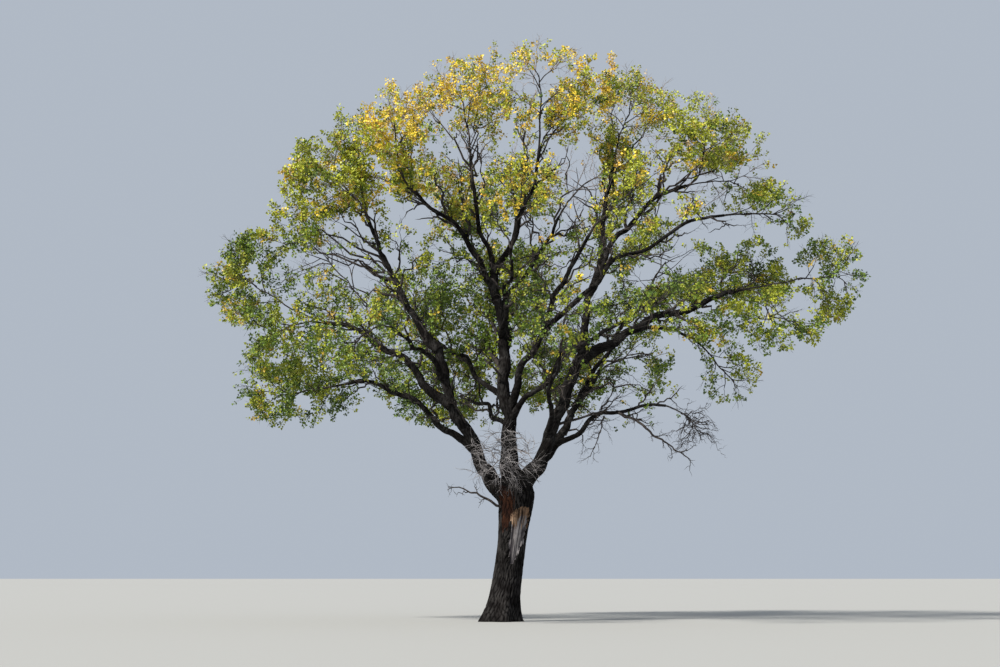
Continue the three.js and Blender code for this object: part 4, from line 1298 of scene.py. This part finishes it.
def grow_between():
    """Boughs that fill places between the masses."""
    for index, (name, share, tip, leafage, hue) in enumerate(BETWEEN):
        points, radii = limb_paths[name]
        start, way = spot(points, share)
        seed = child_seed(7500, index)
        line = crooked(leaving(start, way, np.array(tip), 0.6, BOUGH), seed, 0.06)
        boughs.line(line, 0.6 * radius_at(radii, share), 0.010, 5)
        step = 0.26 if leafage > 0.5 else 0.6
        carry_twigs(line, seed, leafage, hue, step, shortest=0.4, longest=0.9)


for m in masses:
    if not m.bare:
        grow_mass(m)
for index, row in enumerate(LIMBS):
    grow_side_boughs(index, row)
grow_between()


def numbered(counts):
    """For so many on each carrier: the carrier of each one, and its number there."""
    which = np.repeat(np.arange(len(counts)), counts)
    return which, np.arange(len(which)) - np.repeat(np.cumsum(counts) - counts, counts)


def held(points, owner, full):
    """Whether each point lies within a share of the reach of its own mass, and within its
    walls. Those of no mass do."""
    keep = owner < 0
    for m in masses:
        mine = np.flatnonzero(owner == m.index)
        if len(mine):
            near = np.linalg.norm((points[mine] - m.centre) / m.reach, axis=1) < full[mine]
            keep[mine] = m.holds(points[mine], 1.0, 0.0) & near
    return keep


def add_twigs(lines, radii, pale):
    for shade, heap in ((pale, pale_lit_heap), (~pale, twig_heap)):
        heap.add(*tubes(lines[shade], radii[shade], 3))


columns = [np.array(column) for column in zip(*carriers)]
alive = draw(columns[0], 60) < 0.22 + 0.95 * shut(columns[1][:, 4])
seeds, axes, normal, half, flat, leafage, hues, of_mass = [x[alive] for x in columns]
size = np.linalg.norm(axes[:, -1] - axes[:, 0], axis=1)
# twigs high in the crown take the pale bark with its painted light
pale = axes[:, 3, 2] > PALE_LIT_ABOVE + 1.2 * (draw(seeds, 61) - 0.5)
root_radius = 0.006 + 0.0075 * np.minimum(size, 1.5)
add_twigs(axes, root_radius[:, None] * mix(1.0, 0.35, evenly(AXIS)), pale)

# side twigs, one on each side by turns, and a last one that runs on from the tip
counts = np.maximum(3, np.round(size / SIDE_TWIG_STEP)).astype(int)
which, number = numbered(counts)
own = child_seed(seeds[which], 20 + number)
last = number == counts[which] - 1
share = 0.14 + 0.82 * (number + 0.5 + 0.5 * (draw(own, 0) - 0.5)) / counts[which]
share = np.where(last, LAST_TWIG, share)
root, way = at_share(axes, which, share)
lean = 56 - 18 * share + 16 * (draw(own, 1) - 0.5)
lean = np.radians(np.where(last, 6 + 12 * draw(own, 1), lean))
side = unit(np.cross(way, normal[which]))
turn = number * math.pi + (draw(own, 2) - 0.5) * 2.4
turn = turn + np.where(flat[which] < 1, 0, number * GOLDEN)
out = side * np.cos(turn)[:, None] + np.cross(side, way) * (np.sin(turn) * flat[which])[:, None]
profile = np.where(share < BROADEST, 0.75 + 0.6 * share, (1 - share) / (1 - BROADEST))
span = half[which] * np.maximum(0.35, profile) / np.sin(np.maximum(lean, 0.5))
span = np.clip(span * vary(own, 3, *SIDE_TWIG_LONG), 0.1, 0.55)
span = np.where(last, 0.13 * size[which], span)
side_way = unit(way * np.cos(lean)[:, None] + unit(out) * np.sin(lean)[:, None] + UP * 0.1)
lines = bowed(root, root + side_way * span[:, None], jitter(own, 12, 0.1) * span[:, None], 3)
keep = held(lines[:, 1], of_mass[which], np.full(len(which), np.inf))
own, lines, span, which = [x[keep] for x in (own, lines, span, which)]
taper = np.array((1, 0.75, 0.4))
add_twigs(lines, SIDE_TWIG * taper * np.ones((len(lines), 1)), pale[which])

# spurs on the side twigs, which carry the leaves
spurs = np.maximum(2, np.round(span / SPUR_STEP)).astype(int)
twig, number = numbered(spurs)
spur_seed = child_seed(own[twig], 50 + number)
share = (number + 0.7 + 0.5 * (draw(spur_seed, 0) - 0.5)) / spurs[twig]
root, along = at_share(lines, twig, share)
out = round_about(along, number * GOLDEN + draw(own[twig], 5) * TAU)
spur_way = unit(along * 0.55 + out * 0.8 + UP * 0.25)
tip = root + spur_way * vary(spur_seed, 1, *SPUR_LONG)[:, None]
carrier = which[twig]
keep = held(tip, of_mass[carrier], 0.93 + 0.1 * noise(tip / 0.5, 71))
clump = smooth(noise(tip / (1.05, 1.05, 0.7), 72), -0.42, 0.18)
lacy = smooth(tip[:, 2], *LACY)
chance = leafage[carrier] * mix(0.35 + 0.85 * clump, 0.8 + 0.22 * clump, lacy) * shut(tip)
chance = chance * np.where(hides_limb(tip), 0.22, 1)
leafy = draw(spur_seed, 2) < chance
bare = draw(spur_seed, 8) < np.where(pale[carrier], 0.45, 0.12 + 0.12 * lacy)
shown = keep & (leafy | bare)
line = np.stack([root, tip], 1)[shown]
add_twigs(line, np.full((len(line), 2), SPUR), pale[carrier][shown])


# --- Leaves -------------------------------------------------------------------------------

leafy = keep & leafy
root, tip, spur_seed, spur_way, twig, carrier = [
    x[leafy] for x in (root, tip, spur_seed, spur_way, twig, carrier)
]
spur, number = numbered(np.full(len(root), LEAVES))
own_seed = child_seed(spur_seed[spur], 80 + number)
share = (0.2 + 0.8 * (number + 0.5) / LEAVES)[:, None]
stalk = root[spur] * (1 - share) + tip[spur] * share
out = round_about(spur_way[spur], number * GOLDEN + draw(spur_seed[spur], 3) * TAU)
leaf_way = spur_way[spur] * (0.2 + 0.6 * share) + out * 0.85 - UP * 0.35
leaf_way = unit(leaf_way + jitter(own_seed, 4, 0.35))
base = stalk + leaf_way * vary(own_seed, 16, *STALK_LONG)[:, None]
face = unit(np.cross(leaf_way, jitter(own_seed, 9, 1.0)) + UP * 0.35)
face = unit(face - leaf_way * np.sum(face * leaf_way, -1, keepdims=True))
leaf_side = np.cross(leaf_way, face)
smaller = 1 - 0.12 * smooth(base[:, 2], *LACY)
leaf_long = (LEAF_LONG * smaller * vary(own_seed, 13, *LEAF_SIZE))[:, None]
leaf_wide = leaf_long * vary(own_seed, 14, *LEAF_WIDE)[:, None]
fold = leaf_wide * vary(own_seed, 15, *LEAF_FOLD)[:, None]
# across, along and up the fold, as shares: a blade with a straight base, then the foot
# of its stalk, whose other end is on the spur
OUTLINE = [
    (-0.38, 0.03, 0.3), (-0.5, 0.3, 1), (0, 1, 0), (0.5, 0.3, 1), (0.38, 0.03, 0.3),
    (-0.03, 0.05, 0.3), (0.03, 0.05, 0.3),
]
LEAF_FACES = np.array([(2, 3, 4), (2, 4, 0), (2, 0, 1), (5, 6, 7)])
corners = [
    base + leaf_side * leaf_wide * x + leaf_way * leaf_long * y + face * fold * z
    for x, y, z in OUTLINE
]
corners = np.stack(corners + [stalk], 1)

# base colours, and how the sprays of each part of the crown share them out
TINTS = {
    # the darkest tint: partly the leaves' own dark green, partly painted shade
    "deep": (0.045, 0.085, 0.010),
    "green": (0.120, 0.185, 0.016),
    "olive": (0.240, 0.270, 0.020),
    "lime": (0.400, 0.430, 0.032),
    "amber": (0.400, 0.280, 0.030),
    "yellow": (0.760, 0.560, 0.045),
    "gold": (0.720, 0.440, 0.045),
    "tan": (0.470, 0.340, 0.160),
}
# the dark tints are partly the leaves' own green and partly painted shade: the back and low parts
# of the crown, and its left and right, get the most of them
HUES = {
    "left": (0.23, 0.30, 0.27, 0.13, 0.07, 0.00, 0.00, 0.00),
    "shoulder": (0.05, 0.13, 0.26, 0.28, 0.11, 0.13, 0.03, 0.01),
    "top": (0.01, 0.03, 0.12, 0.26, 0.06, 0.37, 0.10, 0.05),
    "high": (0.05, 0.11, 0.22, 0.27, 0.09, 0.19, 0.05, 0.02),
    "right": (0.19, 0.27, 0.26, 0.19, 0.09, 0.00, 0.00, 0.00),
    "back": (0.28, 0.33, 0.26, 0.09, 0.04, 0.00, 0.00, 0.00),
    "low": (0.24, 0.32, 0.26, 0.13, 0.05, 0.00, 0.00, 0.00),
}
pick = 0.48 * draw(seeds[carrier], 6) + 0.28 * draw(own[twig], 6) + 0.24 * draw(spur_seed, 7)
pick = (pick - 0.5) * 1.4 + 0.5
# at the top the crown's rim turns first
topmost = (hues == "top")[carrier]
pick = pick - 0.16 * topmost * (1 - smooth(crown_share(tip), 0.68, 0.9))
hue_steps = np.array([np.cumsum(HUES[hue]) for hue in hues])
tint = (np.clip(pick, 0, 0.9999)[:, None] >= hue_steps[carrier]).sum(1)
leaf_tint = np.minimum(tint, len(TINTS) - 1)[spur]
foliage_nodes = [m.name for m in masses if not m.bare]
for k, (name, colour) in enumerate(TINTS.items()):
    mine = corners[leaf_tint == k]
    faces = LEAF_FACES[None] + (np.arange(len(mine)) * mine.shape[1])[:, None, None]
    heap = Heap()
    heap.add(mine.reshape(-1, 3), faces.reshape(-1, 3))
    material = principled(f"{name}_leaf", colour, roughness=0.45, specular=0.35)
    heap.make(f"{name}_leaves", material, "foliage", foliage_nodes, False)


# --- Dead wood ----------------------------------------------------------------------------

# dead boughs: the points each passes, its radii and how many twigs leave it
DEAD_BOUGHS = [
    ([(4.25, -0.75, 7.35), (4.92, -1.6, 6.95), (5.44, -1.7, 6.39), (5.96, -1.6, 6.04),
      (6.72, -1.5, 5.62)], 0.055, 0.018, 9),
    ([(3.75, -0.1, 7.3), (3.66, -0.6, 6.85), (3.44, -0.9, 6.35), (3.19, -0.95, 5.75)],
     0.035, 0.012, 9),
    ([(0.14, -0.15, 3.97), (-0.46, -0.45, 4.28), (-0.82, -0.5, 4.49), (-1.21, -0.5, 4.63),
      (-1.88, -0.6, 4.76)], 0.055, 0.016, 4),
]
# and the boldest of the dead twigs in the fork
FORK_ARCS = [
    ([(-0.55, -0.25, 5.1), (-0.52, -0.55, 5.23), (-0.41, -0.7, 5.31), (-0.21, -0.8, 5.44),
      (-0.09, -0.9, 5.65), (0.14, -0.95, 5.72)], 0.026, 0.012),
    ([(0.18, -0.2, 5.11), (0.08, -0.6, 5.28), (0.04, -0.75, 5.41), (0.14, -0.85, 5.58),
      (0.42, -0.95, 5.64), (0.76, -1.0, 5.54), (1.12, -1.0, 5.18), (1.44, -0.9, 4.79)],
     0.028, 0.012),
    ([(0.29, 0.0, 6.02), (0.46, -0.45, 6.1), (0.71, -0.65, 6.05), (1.0, -0.75, 5.93),
      (1.21, -0.85, 5.55), (1.48, -0.85, 5.42)], 0.024, 0.010),
    ([(-0.88, -0.2, 6.16), (-0.76, -0.6, 5.82), (-0.73, -0.7, 5.52), (-0.54, -0.65, 5.26)],
     0.022, 0.010),
    ([(0.08, -0.6, 5.28), (0.0, -0.75, 4.94), (0.05, -0.8, 4.72), (-0.04, -0.8, 4.56)],
     0.018, 0.008),
    ([(0.29, -0.2, 5.34), (0.43, -0.6, 5.17), (0.58, -0.7, 5.01), (0.61, -0.72, 4.56)],
     0.020, 0.010),
    ([(-0.79, -0.2, 6.0), (-0.57, -0.5, 6.14), (-0.36, -0.65, 6.09), (-0.18, -0.75, 5.77),
      (-0.07, -0.9, 5.65)], 0.022, 0.010),
]


def through(stops, count):
    """A rounded line through the places of a list."""
    line = straight(np.array(stops), evenly(count))
    for _ in range(3):
        line[1:-1] = (line[:-2] + 2 * line[1:-1] + line[2:]) / 4
    return line


def sprout(heap, parents, levels, droop):
    """Crooked dead twigs that leave their parents by turns, and twigs on those. A level
    gives how many leave each parent, their shortest and longest, and their share of its
    thickness."""
    for count, low, high, share_of in levels:
        grown = []
        for parent, seed, thick in parents:
            for k in range(count):
                own = child_seed(seed, 40 + k)
                start, way = spot(parent, 0.15 + 0.85 * (k + 0.6) / count)
                out = round_about(way, draw(own, 1) * TAU)
                heading = unit(way * 0.6 + out * 0.8 - UP * droop)
                tip = start + heading * mix(low, high, draw(own, 2))
                twig = crooked(leaving(start, way, tip, 0.4, 7), own, 0.1)
                heap.line(twig, share_of * thick, 0.2 * share_of * thick, 4)
                grown.append((twig, own, share_of * thick))
        parents = grown


def grow_frame(m, heap, kink, stem_end, lead, crook, root, end):
    """A bare mass's stem and the twigs of its solid. Returns the stem, and the twigs with
    their seeds."""
    stem = kinked(m.stem_sweep.points(evenly(13)), kink, 300 + m.index, wave=0.4)
    heap.line(stem, m.stem_root, stem_end, 6)
    twigs = []
    for twig in twigs_of(m):
        start, way = m.stem_sweep.point(twig["share"]), m.stem_sweep.way(twig["share"])
        line = crooked(leaving(start, way, twig["end"], lead, BOUGH), twig["seed"], crook)
        heap.line(line, root, end, 4)
        twigs.append((line, twig["seed"]))
    return stem, twigs


def tangle(m, heap, room, thin, forks, droop):
    """A mass's bare twigs, with long ones between them that fork and bend down."""
    stem, twigs = grow_frame(
        m, heap, kink=0.06, stem_end=0.010, lead=0.5, crook=0.05, root=1.4 * BARE_ROOT, end=0.008
    )
    lines = [stem] + [line for line, _ in twigs]
    wood, ways = [line[2:] for line in lines], [ways_along(line)[2:] for line in lines]
    for seed, line in fill(m, wood, ways, [], room, 1.0):
        root = thin * mix(0.65, 1.7, draw(seed, 4) ** 2)
        heap.line(line, root, 0.5 * root, 4)
        for k in range(forks):
            own = child_seed(seed, 40 + k)
            start, way = spot(line, 0.2 + 0.75 * (k + draw(own, 3)) / forks)
            heading = unit(way * 0.8 + round_about(way, draw(own, 1) * TAU) * 0.6)
            far = mix(0.25, 0.85, draw(own, 2) ** 1.5)
            tip = start + heading * far - UP * droop * far
            twig = crooked(leaving(start, heading, tip, 0.9, 6), own, 0.045)
            heap.line(twig, 0.6 * root, 0.25 * root, 3)


def grow_bare(m, heap):
    """A mass of bare twigs: its stem and its twigs, which branch on in two steps."""
    stem, twigs = grow_frame(
        m, heap, kink=0.1, stem_end=0.014, lead=0.6, crook=0.09, root=0.024, end=0.009
    )
    parents = [(stem[4:], child_seed(m.seed, 700), 0.05)]
    parents += [(line, seed, 0.03) for line, seed in twigs]
    sprout(heap, parents, [(7, 0.35, 1.0, 0.5), (4, 0.15, 0.45, 0.55)], droop=0.25)


for m in masses:
    if m.name == "fork_twigs":
        tangle(m, dead_heap, room=0.42, thin=0.0115, forks=5, droop=0.12)
    elif m.bare:
        grow_bare(m, dark_heap)
for index, (stops, root, end, count) in enumerate(DEAD_BOUGHS):
    line = kinked(through(stops, 25), 0.12, 820 + index, wave=0.35)
    dead_boughs.line(line, root, end, 7)
    levels = [(count, 0.3, 0.8, 0.4), (4, 0.15, 0.4, 0.5)]
    sprout(dead_boughs, [(line, child_seed(8300, index), root)], levels, droop=0.1)
for index, (stops, root, end) in enumerate(FORK_ARCS):
    line = kinked(through(stops, 17), 0.03, 840 + index, wave=0.3)
    dead_heap.line(line, root, end, 5)
    levels = [(5, 0.15, 0.5, 0.5)]
    sprout(dead_heap, [(line, child_seed(8400, index), root)], levels, droop=0.1)

boughs.make("boughs", TWIG_BARK, "bark", foliage_nodes)
twig_heap.make("twigs", TWIG_BARK, "bark", foliage_nodes)
pale_lit_heap.make("pale_lit_twigs", PALE_LIT_BARK, "bark", foliage_nodes)
dead_heap.make("fork_dead_twigs", DEAD_WOOD, "dead_twigs", ["fork_twigs"])
dark_heap.make("low_dead_twigs", DARK_WOOD, "dead_twigs", ["low_right_twigs"])
dead_boughs.make("dead_boughs", TWIG_BARK, "bark", ["trunk", "low_right_limb"])


# --- Stage --------------------------------------------------------------------------------

scene = bpy.context.scene
mesh = bpy.data.meshes.new("floor")
FLOOR = 900  # half its side
floor_corners = [(x * FLOOR, y * FLOOR, 0) for x, y in ((-1, -1), (1, -1), (1, 1), (-1, 1))]
mesh.from_pydata(floor_corners, [], [(0, 1, 2, 3)])
floor = bpy.data.objects.new("floor", mesh)
scene.collection.objects.link(floor)
mesh.materials.append(principled("pale_floor", (0.34, 0.34, 0.33), 0.9))

world = bpy.data.worlds.new("studio")
scene.world = world
world.use_nodes = True
background = world.node_tree.nodes["Background"]
background.inputs["Color"].default_value = (0.78, 0.87, 1.0, 1)
background.inputs["Strength"].default_value = 0.56

sun = bpy.data.lights.new("key", "SUN")
sun.energy = 6.2
sun.angle = math.radians(9)
sun.color = (1.0, 0.96, 0.88)
key = bpy.data.objects.new("key", sun)
key.rotation_euler = (math.radians(48), 0, math.radians(-52))
scene.collection.objects.link(key)

camera = bpy.data.cameras.new("camera")
camera.lens = 60
camera.sensor_width = 36
camera.clip_end = 2000
eye = bpy.data.objects.new("camera", camera)
eye.location = (0, -SIGHT, EYE_HEIGHT)
eye.rotation_euler = (math.radians(90 + EYE_TILT), 0, 0)
scene.collection.objects.link(eye)
scene.camera = eye
scene.view_settings.view_transform = "Standard"

bpy.context.view_layer.update()
